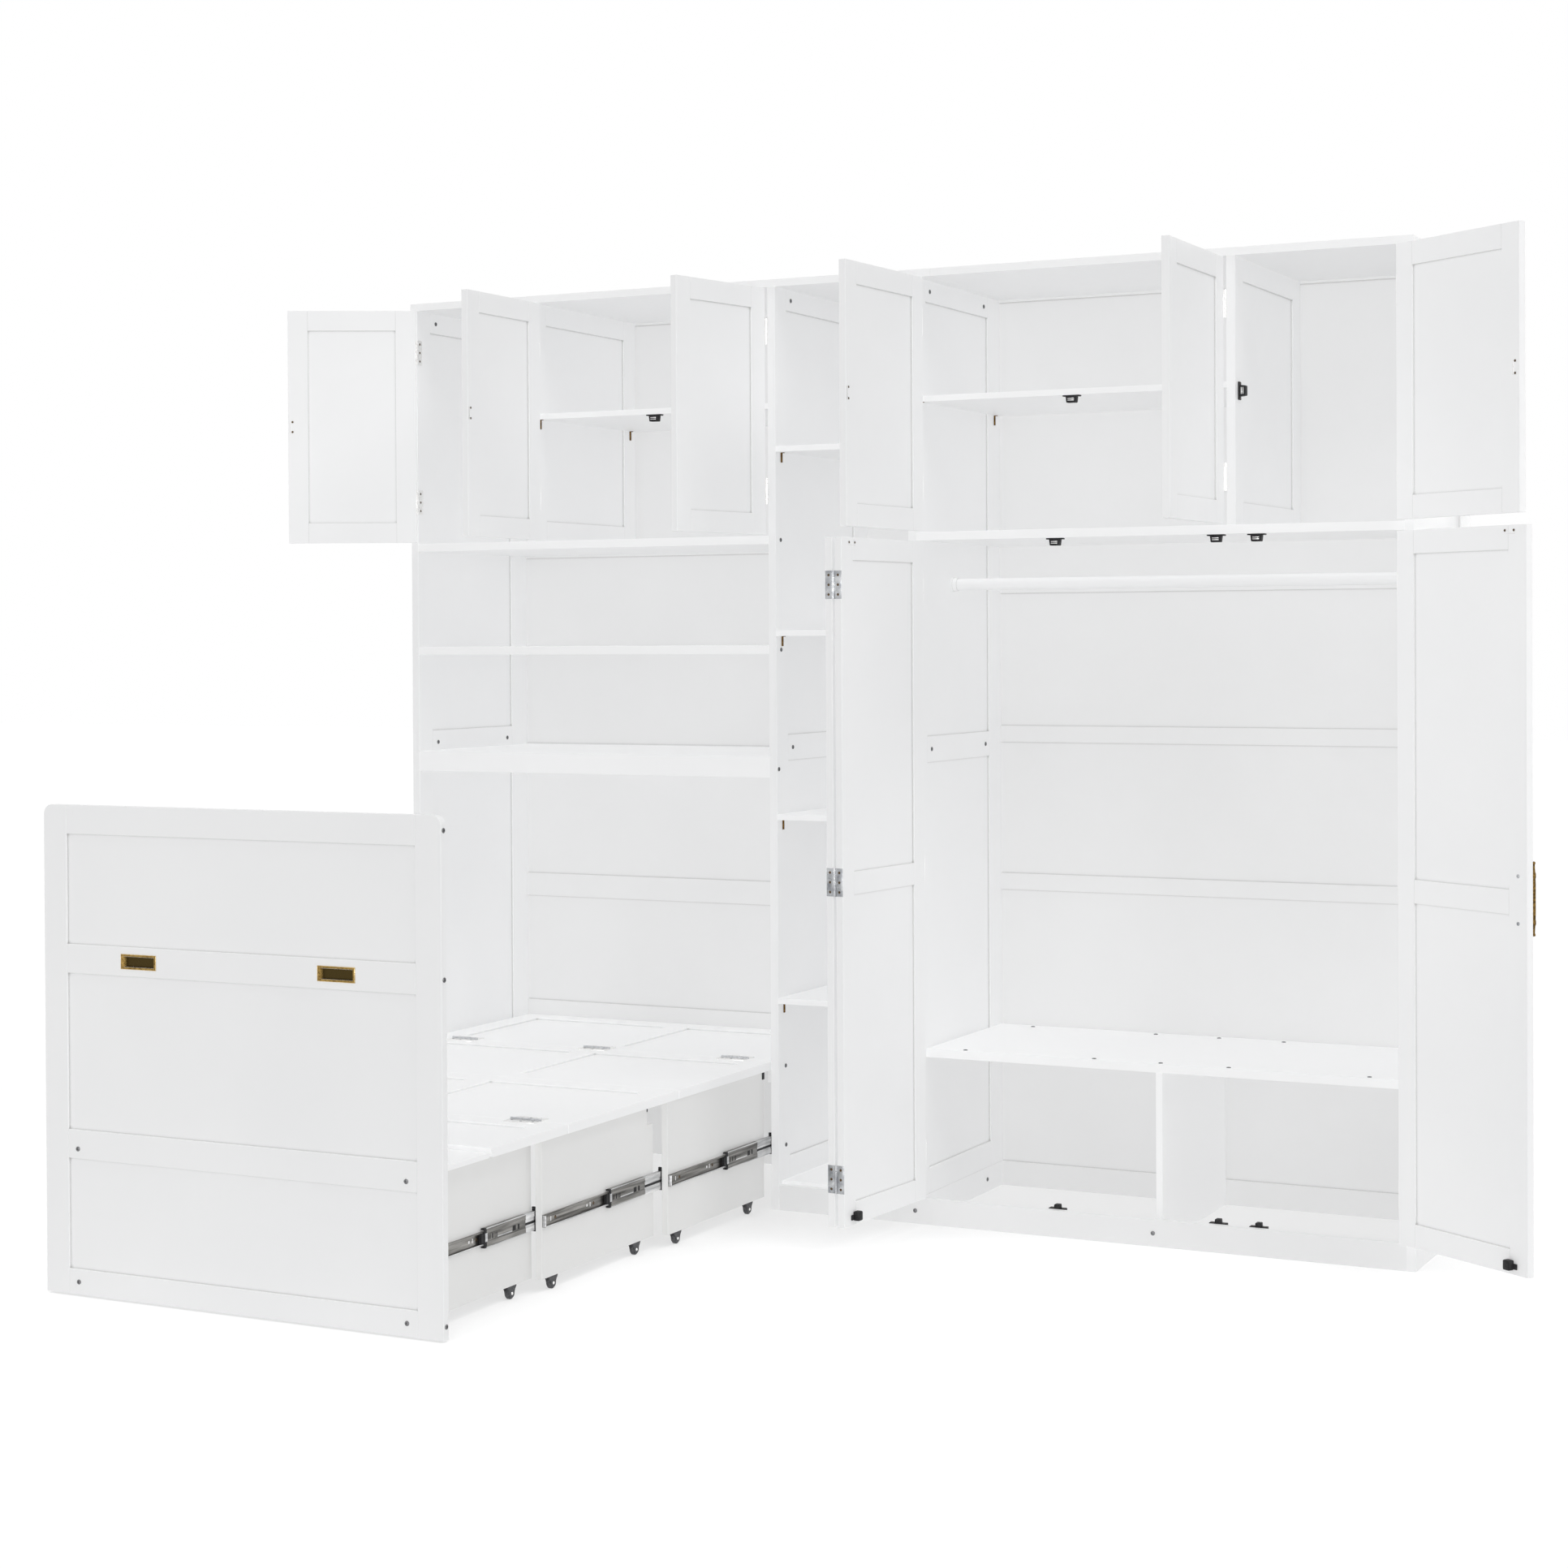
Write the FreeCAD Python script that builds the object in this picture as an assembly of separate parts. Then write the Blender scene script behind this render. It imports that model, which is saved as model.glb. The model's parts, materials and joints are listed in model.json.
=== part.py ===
"""Wall unit with a wardrobe, open shelves and a pull-out single bed, in millimetres.

X runs along the wall with 0 at the middle of the unit, Y runs towards the wall with 0 at the front
edge of the carcass, and Z is up from the floor. The doors stand open and the bed is pulled out.
"""
import FreeCAD
import Part
import math
import os

V = FreeCAD.Vector
Z_AXIS = V(0, 0, 1)

# Carcass
SIDE_T = 20.0
TOP_T = 18.0
INNER_DEPTH = 510.0
BACK_T = 20.0
BAY_W = 994.0
TOWER_W = 343.0
WARD_W = 1136.0
TOP_SEAM_OFFSET = 38.0
CABINET_CLEAR_H = 589.0
SHELF_T = 20.0
PLINTH_H = 60.0
PLINTH_T = 18.0

# Frame-and-panel work
STILE_W = 60.0
BACK_STILE_W = 42.0
BACK_RAIL_W = 40.0
FIELD_DEPTH = 5.0
MID_RAIL_Z = 1068.0
CABINET_RAIL_W = 50.0

# Bed bay fittings
DESK_Z = 1028.0
DESK_H = 50.0
LOWER_BAY_H = 244.0
UPPER_BAY_H = 241.0
NICHE_RAIL_Z = 670.0
CABINET_SHELF_RAISE = 15.0
CABINET_SHELF_SETBACK = 24.0
CABINET_SHELF_T = 14.0

# Open shelf tower
TOWER_SHELF_T = 14.0
TOWER_TOP_BAY_H = 377.0
TOWER_SHELF_COUNT = 4
TOWER_FLOOR_Z = 54.0

# Wardrobe fittings
BENCH_Z = 381.0
BENCH_SETBACK = 45.0
BENCH_DIVIDER_T = 15.0
WARD_RAIL_LOW_Z = 735.0
WARD_RAIL_HIGH_Z = 1100.0
ROD_R = 14.0
ROD_Y = 230.0
ROD_DROP = 98.0

# Doors
DOOR_T = 17.0
DOOR_GAP = 2.0
DOOR_STILE_W = 50.0
LEAF_MID_RAIL_Z = 792.0
PIN_STAND = 3.5
PIN_INSET = 1.0
KNUCKLE_R = 3.0
KNUCKLE_L = 62.0
HINGE_PLATE_T = 0.8
HINGE_PLATE_W = 22.0
HINGE_END = 105.0
DOOR_ANGLES = {1: 151.5, 2: 90.5, 3: 78.0, 4: 93.5, 5: 90.0, 6: 145.0}
LEAF_A_ANGLE = 95.0
LEAF_C_ANGLE = 146.5
HANDLE_EDGE = 24.0
HANDLE_Z = 823.0
HANDLE_PITCH = 96.0
HANDLE_STAND = 26.0
HANDLE_R = 4.5
HANDLE_FINIAL = 24.0

# Pull-out bed
FOOTBOARD_T = 18.0
FOOTBOARD_TOP = 1021.0
FOOTBOARD_LIFT = 4.0
FOOTBOARD_SIDE_GAP = 4.0
FOOTBOARD_CORNER_R = 20.0
FOOTBOARD_BASE_RAIL = 53.0
FOOTBOARD_LOW_RAIL_Z = 287.0
FOOTBOARD_PULL_RAIL_Z = 672.0
PULL_OFFSET = 246.0
PULL_W = 90.0
PULL_H = 31.0
PULL_LIP = 5.0
PULL_DEPTH = 9.0
PULL_PROUD = 1.5
DECK_BOTTOM = 329.0
DECK_T = 20.0
DECK_SIDE_GAP = 8.0
DECK_FRAME_W = 62.0
DECK_FIELD_DEPTH = 5.0
DECK_SEAM = 1.0
ROW_1_Y = 30.0
BOARD_B_SHORT = 4.0
BOARD_C_EXTRA = 10.0
DECK_WALL_GAP = 4.0
BOARD_D_BEVEL = 12.0
STRIP_T = 10.5
STRIP_GAP = 2.5
STRIP_RUN = 1.0
SWING_CLEAR = 5.0
SWING_STEP = 1.0
DECK_PIN_RISE = 3.0
DECK_HINGE_L = 75.0
DECK_HINGE_W = 30.0
DECK_HINGE_T = 2.0
DECK_KNUCKLE_R = 2.7
DECK_HINGE_INSET = 104.0
SECTION_REAR_GAP = 17.0
SECTION_1_L = 421.0
SECTION_T = 15.0
SECTION_BOTTOM = 28.0
SECTION_TOP_GAP = 0.5
SECTION_3_REAR = 2.0
SECTION_STEP_3_2 = 16.0
SECTION_STEP_2_1 = -4.0
RAIL_W = 25.0
RAIL_H = 40.0
NOTCH_H = 50.0
NEST_GAP = 1.0
LEDGE_W = 18.0
LEDGE_H = 30.0

# Drawer slides
SPACER_T = 8.0
SPACER_H = 60.0
SLIDE_W = 13.0
SLIDE_Z = 150.0
SLIDE_END = 2.0
OUTER_H = 45.0
MIDDLE_H = 40.0
INNER_H = 26.0
CHANNEL_T = 1.5
OUTER_DEPTH = 10.0
MIDDLE_DEPTH = 8.8
INNER_DEPTH_X = 8.5
MIDDLE_PLAY = 0.7

# Casters
WHEEL_R = 12.0
WHEEL_W = 9.0
AXLE_R = 2.0
AXLE_PLAY = 0.05
CASTER_L = 34.0
CASTER_PLATE_T = 2.0
CHEEK_T = 1.5
CHEEK_PLAY = 0.5
CASTER_FROM_FRONT = 48.0
CASTER_FROM_REAR = 74.0

# Small hardware
SMALL_SIDES = 12
BOLT_R = 5.0
BOLT_HEAD = 1.5
BOLT_INSET = 25.0
BENCH_BOLT_END = 94.0
PIN_TAB = 9.0
PIN_TAB_T = 3.0
PIN_DROP = 24.0
CATCH_W = 40.0
CATCH_D = 17.0
CATCH_H = 17.0
CATCH_DROP = 12.0
CATCH_RISE = 10.0
CATCH_EDGE = 46.0

# Places along X
UNIT_W = 4 * SIDE_T + BAY_W + TOWER_W + WARD_W
LEFT_X = -UNIT_W / 2
BAY_X0 = LEFT_X + SIDE_T
BAY_X1 = BAY_X0 + BAY_W
TOWER_X0 = BAY_X1 + SIDE_T
TOWER_X1 = TOWER_X0 + TOWER_W
WARD_X0 = TOWER_X1 + SIDE_T
WARD_X1 = WARD_X0 + WARD_W
RIGHT_X = WARD_X1 + SIDE_T
BAY_MID = (BAY_X0 + BAY_X1) / 2
BAY_DIVIDER_X = BAY_X0 + (BAY_W - SIDE_T) / 3
WARD_DIVIDER_X = WARD_X0 + 2 * (WARD_W - SIDE_T) / 3
LEAF_AB_X = WARD_X0 + WARD_W / 3
LEAF_BC_X = WARD_X0 + 2 * WARD_W / 3

# Places along Z and Y
OUTER_DEPTH_Y = INNER_DEPTH + BACK_T
OPEN_SHELF_Z = DESK_Z + DESK_H + LOWER_BAY_H
CABINET_FLOOR_Z = OPEN_SHELF_Z + SHELF_T + UPPER_BAY_H
CABINET_Z = CABINET_FLOOR_Z + SHELF_T
TOP_Z = CABINET_Z + CABINET_CLEAR_H
UNIT_H = TOP_Z + TOP_T
CABINET_SHELF_Z = CABINET_Z + (CABINET_CLEAR_H - CABINET_SHELF_T) / 2 + CABINET_SHELF_RAISE
ROD_Z = CABINET_FLOOR_Z - ROD_DROP
DECK_TOP = DECK_BOTTOM + DECK_T
SECTION_TOP = DECK_BOTTOM - SECTION_TOP_GAP
SHUT_FRONT = FOOTBOARD_T + NEST_GAP
SECTION_L = INNER_DEPTH - SECTION_REAR_GAP - SHUT_FRONT
SECTION_3 = (SECTION_3_REAR - SECTION_L, SECTION_3_REAR)
SECTION_2_REAR = SECTION_3[0] - SECTION_STEP_3_2
SECTION_2 = (SECTION_2_REAR - SECTION_L, SECTION_2_REAR)
SECTION_1_REAR = SECTION_2[0] - SECTION_STEP_2_1
FOOTBOARD_BACK = SECTION_1_REAR - SECTION_1_L
SECTION_1 = (FOOTBOARD_BACK, SECTION_1_REAR)
BED_REACH = FOOTBOARD_T - FOOTBOARD_BACK
BOARD_B_L = SECTION_L - BOARD_B_SHORT
BOARD_C_L = BOARD_B_L + BOARD_C_EXTRA
SEAM_Y = ROW_1_Y - BOARD_B_L
ROW_2_Y = SEAM_Y - BOARD_C_L

# Travel of the bed from the photographed reach to shut
STROKE_3 = SHUT_FRONT - SECTION_3[0]
STROKE_2 = SHUT_FRONT - SECTION_2[0] - STROKE_3
STROKE_1 = BED_REACH - STROKE_2 - STROKE_3

# Half widths of the nested sections, measured to their outer faces
HALF_3 = BAY_W / 2 - SPACER_T - SLIDE_W
HALF_2 = HALF_3 - SECTION_T - SLIDE_W
HALF_1 = HALF_2 - SECTION_T - SLIDE_W


def box(x0, x1, y0, y1, z0, z1):
    """A block between two opposite corners."""
    return Part.makeBox(x1 - x0, y1 - y0, z1 - z0, V(x0, y0, z0))


def prism(points, run):
    """A straight prism over a flat outline."""
    face = Part.Face(Part.makePolygon(points + [points[0]]))
    return face.extrude(run)


def disc(radius, centre, axis):
    """A small round face drawn with a few flat sides, for hardware that repeats."""
    rim = Part.makeCircle(radius, centre, axis).discretize(SMALL_SIDES + 1)
    return Part.Face(Part.makePolygon(rim))


def framed_x(x0, x1, y0, y1, z0, z1, fields, depth=FIELD_DEPTH):
    """An upright panel facing X, with fields (y0, y1, z0, z1) sunk into both faces."""
    panel = box(x0, x1, y0, y1, z0, z1)
    for fy0, fy1, fz0, fz1 in fields:
        panel = panel.cut(box(x0, x0 + depth, fy0, fy1, fz0, fz1))
        panel = panel.cut(box(x1 - depth, x1, fy0, fy1, fz0, fz1))
    return panel


def framed_y(x0, x1, y0, y1, z0, z1, fields, depth=FIELD_DEPTH):
    """An upright panel facing Y, with fields (x0, x1, z0, z1) sunk into both faces."""
    panel = box(x0, x1, y0, y1, z0, z1)
    for fx0, fx1, fz0, fz1 in fields:
        panel = panel.cut(box(fx0, fx1, y0, y0 + depth, fz0, fz1))
        panel = panel.cut(box(fx0, fx1, y1 - depth, y1, fz0, fz1))
    return panel


def turned(shape, x, y, degrees):
    """A copy turned about an upright axis."""
    copy = shape.copy()
    copy.rotate(V(x, y, 0), Z_AXIS, degrees)
    return copy


def save(name, *solids):
    """Write one node as a group of separate solids."""
    shape = solids[0] if len(solids) == 1 else Part.makeCompound(list(solids))
    shape.exportStep(os.path.join("parts", name + ".step"))


# Carcass panels: four uprights, each with a lower, an upper and a cabinet field on both faces
def upright(x0, foot_setback):
    y_fields = (STILE_W, INNER_DEPTH - STILE_W - SIDE_T / 2)
    heights = (
        (PLINTH_H + STILE_W, MID_RAIL_Z),
        (MID_RAIL_Z + STILE_W, CABINET_FLOOR_Z - STILE_W),
        (CABINET_Z + CABINET_RAIL_W, TOP_Z - CABINET_RAIL_W),
    )
    fields = [y_fields + span for span in heights]
    panel = framed_x(x0, x0 + SIDE_T, 0, OUTER_DEPTH_Y, 0, TOP_Z, fields)
    if foot_setback:
        panel = panel.cut(box(x0, x0 + SIDE_T, 0, foot_setback, 0, PLINTH_H))
    return panel


def make_carcass():
    save("left_side_panel", upright(LEFT_X, 0))
    save("bed_tower_divider", upright(BAY_X1, 0))
    save("tower_wardrobe_panel", upright(TOWER_X1, PLINTH_T))
    save("right_side_panel", upright(WARD_X1, 0))
    seam = WARD_X0 + TOP_SEAM_OFFSET
    left_top = box(LEFT_X, seam, 0, OUTER_DEPTH_Y, TOP_Z, UNIT_H)
    right_top = box(seam, RIGHT_X, 0, OUTER_DEPTH_Y, TOP_Z, UNIT_H)
    save("top_boards", left_top, right_top)
    save("plinth", box(TOWER_X0, WARD_X1, 0, PLINTH_T, 0, PLINTH_H))


# Back panels: frames with wide fields between their rails
def back_panel(x0, x1, spans):
    fields = [(x0 + BACK_STILE_W, x1 - BACK_STILE_W, z0, z1) for z0, z1 in spans]
    return framed_y(x0, x1, INNER_DEPTH, OUTER_DEPTH_Y, 0, TOP_Z, fields)


def make_backs():
    cabinet = (CABINET_Z + CABINET_RAIL_W, TOP_Z - CABINET_RAIL_W)
    bay_spans = (
        (DECK_TOP + BACK_RAIL_W, NICHE_RAIL_Z),
        (NICHE_RAIL_Z + STILE_W, DESK_Z),
        (DESK_Z + DESK_H + BACK_RAIL_W, CABINET_FLOOR_Z - BACK_RAIL_W),
        cabinet,
    )
    ward_spans = (
        (PLINTH_H, BENCH_Z - BACK_RAIL_W),
        (BENCH_Z + SHELF_T + BACK_RAIL_W, WARD_RAIL_LOW_Z),
        (WARD_RAIL_LOW_Z + BACK_RAIL_W, WARD_RAIL_HIGH_Z),
        (WARD_RAIL_HIGH_Z + BACK_RAIL_W, CABINET_FLOOR_Z - BACK_RAIL_W),
        cabinet,
    )
    tower_spans = (
        (PLINTH_H + STILE_W, MID_RAIL_Z),
        (MID_RAIL_Z + STILE_W, TOP_Z - CABINET_RAIL_W),
    )
    save("bed_bay_back", back_panel(BAY_X0, BAY_X1, bay_spans))
    save("tower_back", back_panel(TOWER_X0, TOWER_X1, tower_spans))
    save("wardrobe_back", back_panel(WARD_X0, WARD_X1, ward_spans))


# Shelves and fixed boards
def tower_shelf_heights():
    """Undersides of the tower's shelves, evenly spaced below the top bay."""
    floor_top = TOWER_FLOOR_Z + TOWER_SHELF_T
    step = (TOP_Z - TOWER_TOP_BAY_H - floor_top) / TOWER_SHELF_COUNT
    return [TOWER_FLOOR_Z + step * (i + 1) for i in range(TOWER_SHELF_COUNT)]


def make_shelves():
    floors = [box(x0, x1, 0, INNER_DEPTH, CABINET_FLOOR_Z, CABINET_Z)
              for x0, x1 in ((BAY_X0, BAY_X1), (WARD_X0, WARD_X1))]
    save("cabinet_floors", *floors)
    divider_fields = [(STILE_W, INNER_DEPTH - STILE_W,
                       CABINET_Z + CABINET_RAIL_W, TOP_Z - CABINET_RAIL_W)]
    dividers = [framed_x(x, x + SIDE_T, 0, INNER_DEPTH, CABINET_Z, TOP_Z, divider_fields)
                for x in (BAY_DIVIDER_X, WARD_DIVIDER_X)]
    save("cabinet_dividers", *dividers)
    spans = ((BAY_DIVIDER_X + SIDE_T, BAY_X1), (WARD_X0, WARD_DIVIDER_X))
    shelves = [box(x0, x1, CABINET_SHELF_SETBACK, INNER_DEPTH,
                   CABINET_SHELF_Z, CABINET_SHELF_Z + CABINET_SHELF_T) for x0, x1 in spans]
    save("cabinet_shelves", *shelves)
    save("bay_open_shelf", box(BAY_X0, BAY_X1, 0, INNER_DEPTH, OPEN_SHELF_Z, OPEN_SHELF_Z + SHELF_T))
    desk = box(BAY_X0, BAY_X1, 0, INNER_DEPTH, DESK_Z, DESK_Z + DESK_H)
    desk_hollow = box(BAY_X0, BAY_X1, SIDE_T, INNER_DEPTH, DESK_Z, DESK_Z + DESK_H - SHELF_T)
    save("desk_board", desk.cut(desk_hollow))
    tower = [box(TOWER_X0, TOWER_X1, 0, INNER_DEPTH, z, z + TOWER_SHELF_T)
             for z in tower_shelf_heights()]
    tower.append(box(TOWER_X0, TOWER_X1, PLINTH_T, INNER_DEPTH,
                     TOWER_FLOOR_Z, TOWER_FLOOR_Z + TOWER_SHELF_T))
    save("tower_shelves", *tower)
    save("bench_shelf", box(WARD_X0, WARD_X1, BENCH_SETBACK, INNER_DEPTH, BENCH_Z, BENCH_Z + SHELF_T))
    middle = (WARD_X0 + WARD_X1) / 2
    save("bench_divider", box(middle - BENCH_DIVIDER_T / 2, middle + BENCH_DIVIDER_T / 2,
                              BENCH_SETBACK, INNER_DEPTH, 0, BENCH_Z))
    rod_foot = V(WARD_X0 - FIELD_DEPTH, ROD_Y, ROD_Z)
    save("hanging_rod", Part.makeCylinder(ROD_R, WARD_W + 2 * FIELD_DEPTH, rod_foot, V(1, 0, 0)))


# Cleats in the bed bay that carry the rear deck board and pack out the slides
def make_cleats():
    cleats = []
    for side in (-1, 1):
        wall = BAY_MID + side * BAY_W / 2
        ledge = sorted((wall, wall - side * LEDGE_W))
        cleats.append(box(*ledge, SHUT_FRONT, INNER_DEPTH, DECK_BOTTOM - LEDGE_H, DECK_BOTTOM))
        pad = sorted((wall, wall - side * SPACER_T))
        cleats.append(box(*pad, SHUT_FRONT, INNER_DEPTH, SLIDE_Z - SPACER_H / 2, SLIDE_Z + SPACER_H / 2))
    save("bay_cleats", *cleats)


# Doors: a sunk panel in a frame, made shut and then turned about the hinge pin
def door_leaf(x0, x1, z0, z1, mid_rail=None):
    inner = (x0 + DOOR_STILE_W, x1 - DOOR_STILE_W)
    low = z0 + DOOR_STILE_W
    high = z1 - DOOR_STILE_W
    spans = [(low, high)]
    if mid_rail is not None:
        spans = [(low, mid_rail), (mid_rail + DOOR_STILE_W, high)]
    return framed_y(x0, x1, 0, DOOR_T, z0, z1, [inner + span for span in spans])


def hinge_pin(frame_x, hand):
    """Pin of a door whose hinged edge shuts beside frame_x; hand is 1 for left and -1 for right."""
    return frame_x + hand * PIN_INSET, -PIN_STAND


def butt_hinge(frame_x, hand, z, plate_w=HINGE_PLATE_W):
    """Knuckle and fixed plate of one butt hinge, standing at height z on its middle."""
    pin_x, pin_y = hinge_pin(frame_x, hand)
    base = z - KNUCKLE_L / 2
    knuckle = disc(KNUCKLE_R, V(pin_x, pin_y, base), Z_AXIS)
    plate_x = min(frame_x, frame_x + hand * HINGE_PLATE_T)
    plate = Part.makePlane(HINGE_PLATE_T, plate_w - pin_y, V(plate_x, pin_y, base))
    profile = knuckle.fuse(plate).removeSplitter().Faces[0]
    return profile.extrude(V(0, 0, KNUCKLE_L))


UPPER_DOORS = (
    (1, 1, BAY_X0, BAY_X0, BAY_DIVIDER_X, False),
    (2, 1, BAY_DIVIDER_X + SIDE_T, BAY_DIVIDER_X + SIDE_T, BAY_X1, True),
    (3, -1, BAY_X1, BAY_DIVIDER_X + SIDE_T, BAY_X1, True),
    (4, 1, WARD_X0, WARD_X0, WARD_DIVIDER_X, True),
    (5, -1, WARD_DIVIDER_X, WARD_X0, WARD_DIVIDER_X, True),
    (6, -1, WARD_X1, WARD_DIVIDER_X + SIDE_T, WARD_X1, False),
)
LEAF_BOTTOM = PLINTH_H + DOOR_GAP
LEAF_TOP = CABINET_FLOOR_Z - DOOR_GAP
UPPER_HINGES = (CABINET_Z + HINGE_END, TOP_Z - HINGE_END)
LEAF_HINGES = (LEAF_BOTTOM + HINGE_END, (LEAF_BOTTOM + LEAF_TOP) / 2, LEAF_TOP - HINGE_END)


def make_upper_doors():
    for number, hand, frame_x, x0, x1, paired in UPPER_DOORS:
        if paired:
            middle = (x0 + x1) / 2
            if hand > 0:
                x1 = middle + DOOR_GAP / 2
            else:
                x0 = middle - DOOR_GAP / 2
        leaf = door_leaf(x0 + DOOR_GAP, x1 - DOOR_GAP, CABINET_Z + DOOR_GAP, TOP_Z - DOOR_GAP)
        pin_x, pin_y = hinge_pin(frame_x, hand)
        save("upper_door_%d" % number, turned(leaf, pin_x, pin_y, -hand * DOOR_ANGLES[number]))


def make_door_hinges():
    hinges = [butt_hinge(frame_x, hand, z)
              for _, hand, frame_x, _, _, _ in UPPER_DOORS for z in UPPER_HINGES]
    hinges += [butt_hinge(WARD_X0, 1, z) for z in LEAF_HINGES]
    hinges += [butt_hinge(WARD_X1, -1, z) for z in LEAF_HINGES]
    save("door_hinges", *hinges)


def make_wardrobe_leaves():
    pin_a = hinge_pin(WARD_X0, 1)
    half_gap = DOOR_GAP / 2
    leaf_a = door_leaf(WARD_X0 + DOOR_GAP, LEAF_AB_X - half_gap, LEAF_BOTTOM, LEAF_TOP, LEAF_MID_RAIL_Z)
    save("wardrobe_leaf_a", turned(leaf_a, *pin_a, -LEAF_A_ANGLE))
    leaf_b = door_leaf(LEAF_AB_X + half_gap, LEAF_BC_X - half_gap, LEAF_BOTTOM, LEAF_TOP, LEAF_MID_RAIL_Z)
    folded = turned(leaf_b, LEAF_AB_X, -PIN_STAND, 180)
    save("wardrobe_leaf_b", turned(folded, *pin_a, -LEAF_A_ANGLE))
    edge_x = LEAF_AB_X - half_gap
    hinges = []
    for z in LEAF_HINGES:
        hinge = butt_hinge(edge_x, 1, z, DOOR_T)
        hinges.append(turned(hinge, *pin_a, -LEAF_A_ANGLE))
    save("bifold_hinges", *hinges)
    leaf_c = door_leaf(LEAF_BC_X + half_gap, WARD_X1 - DOOR_GAP, LEAF_BOTTOM, LEAF_TOP, LEAF_MID_RAIL_Z)
    pin_c = hinge_pin(WARD_X1, -1)
    save("wardrobe_leaf_c", turned(leaf_c, *pin_c, LEAF_C_ANGLE))
    save("bar_handle", turned(bar_handle(LEAF_BC_X + half_gap + HANDLE_EDGE), *pin_c, LEAF_C_ANGLE))


def bar_handle(x):
    """An upright bar on two posts, drawn out to slim finials."""
    half = HANDLE_PITCH / 2
    slim = HANDLE_R * 0.55
    outline = [
        V(0, 0, -half - HANDLE_FINIAL - HANDLE_R),
        V(slim, 0, -half - HANDLE_FINIAL - HANDLE_R),
        V(slim, 0, -half - HANDLE_R),
        V(HANDLE_R, 0, -half),
        V(HANDLE_R, 0, half),
        V(slim, 0, half + HANDLE_R),
        V(slim, 0, half + HANDLE_FINIAL + HANDLE_R),
        V(0, 0, half + HANDLE_FINIAL + HANDLE_R),
    ]
    face = Part.Face(Part.makePolygon(outline + [outline[0]]))
    handle = face.revolve(V(0, 0, 0), Z_AXIS, 360)
    handle.translate(V(x, -HANDLE_STAND, HANDLE_Z))
    for z in (HANDLE_Z - half, HANDLE_Z + half):
        handle = handle.fuse(Part.makeCylinder(slim * 1.6, HANDLE_STAND, V(x, 0, z), V(0, -1, 0)))
    return handle


# Footboard: two stiles, four rails and three sunk panels, with let-in pulls
def pull_places():
    z = FOOTBOARD_PULL_RAIL_Z + STILE_W / 2
    return [(BAY_MID + side * PULL_OFFSET, z) for side in (-1, 1)]


def make_footboard():
    x0 = BAY_X0 + FOOTBOARD_SIDE_GAP
    x1 = BAY_X1 - FOOTBOARD_SIDE_GAP
    spans = (
        (FOOTBOARD_LIFT + FOOTBOARD_BASE_RAIL, FOOTBOARD_LOW_RAIL_Z),
        (FOOTBOARD_LOW_RAIL_Z + STILE_W, FOOTBOARD_PULL_RAIL_Z),
        (FOOTBOARD_PULL_RAIL_Z + STILE_W, FOOTBOARD_TOP - STILE_W),
    )
    fields = [(x0 + STILE_W, x1 - STILE_W, z0, z1) for z0, z1 in spans]
    board = framed_y(x0, x1, -BED_REACH, FOOTBOARD_BACK, FOOTBOARD_LIFT, FOOTBOARD_TOP, fields)
    corners = [edge for edge in board.Edges
               if edge.BoundBox.YLength > FOOTBOARD_T - 0.1 and edge.BoundBox.ZMin > FOOTBOARD_TOP - 0.1]
    board = board.makeFillet(FOOTBOARD_CORNER_R, corners)
    pulls = []
    for x, z in pull_places():
        half_w = PULL_W / 2
        half_h = PULL_H / 2
        front = -BED_REACH
        tray = box(x - half_w + PULL_LIP, x + half_w - PULL_LIP, front, front + PULL_DEPTH,
                   z - half_h + PULL_LIP, z + half_h - PULL_LIP)
        lip = box(x - half_w, x + half_w, front - PULL_PROUD, front, z - half_h, z + half_h)
        hollow = box(x - half_w + PULL_LIP + PULL_PROUD, x + half_w - PULL_LIP - PULL_PROUD,
                     front - PULL_PROUD, front + PULL_DEPTH - PULL_PROUD,
                     z - half_h + PULL_LIP + PULL_PROUD, z + half_h - PULL_LIP - PULL_PROUD)
        board = board.cut(tray)
        pulls.append(lip.fuse(tray).cut(hollow))
    save("footboard", board)
    save("flush_pulls", *pulls)


# Telescoping sections: two side boards joined by a top rail near the rear
def section_sides(half, span, notched):
    sides = []
    for side in (-1, 1):
        outer = BAY_MID + side * half
        board = box(*sorted((outer, outer - side * SECTION_T)), *span, SECTION_BOTTOM, SECTION_TOP)
        if notched:
            corner = box(*sorted((outer, outer - side * SECTION_T)), span[1] - RAIL_W - NEST_GAP, span[1],
                         SECTION_TOP - NOTCH_H, SECTION_TOP)
            board = board.cut(corner)
        sides.append(board)
    return sides


def section_rail(half, rear):
    inner = half - SECTION_T
    return box(BAY_MID - inner, BAY_MID + inner, rear - RAIL_W, rear, SECTION_TOP - RAIL_H, SECTION_TOP)


def make_sections():
    save("section_1_frame", *section_sides(HALF_1, SECTION_1, False),
         section_rail(HALF_1, SECTION_1[1]), front_strip())
    save("section_2_frame", *section_sides(HALF_2, SECTION_2, True),
         section_rail(HALF_2, SECTION_2[1] - RAIL_W - NEST_GAP))
    save("section_3_frame", *section_sides(HALF_3, SECTION_3, False),
         section_rail(HALF_3, SECTION_3[1]))


# Folding deck: board A stays in the bay, B, C and D stack on it in a zigzag as the bed is pushed in
def board_d_length():
    """Longest front board that swings up clear of the footboard while the bed is pushed in."""
    lever = DECK_T + 2 * DECK_PIN_RISE
    length = ROW_2_Y - FOOTBOARD_BACK
    steps = [i / 200.0 for i in range(201)]
    while True:
        least = min(front_clearance(length, lever, step) for step in steps)
        if least >= SWING_CLEAR:
            return length
        length -= SWING_STEP


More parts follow.
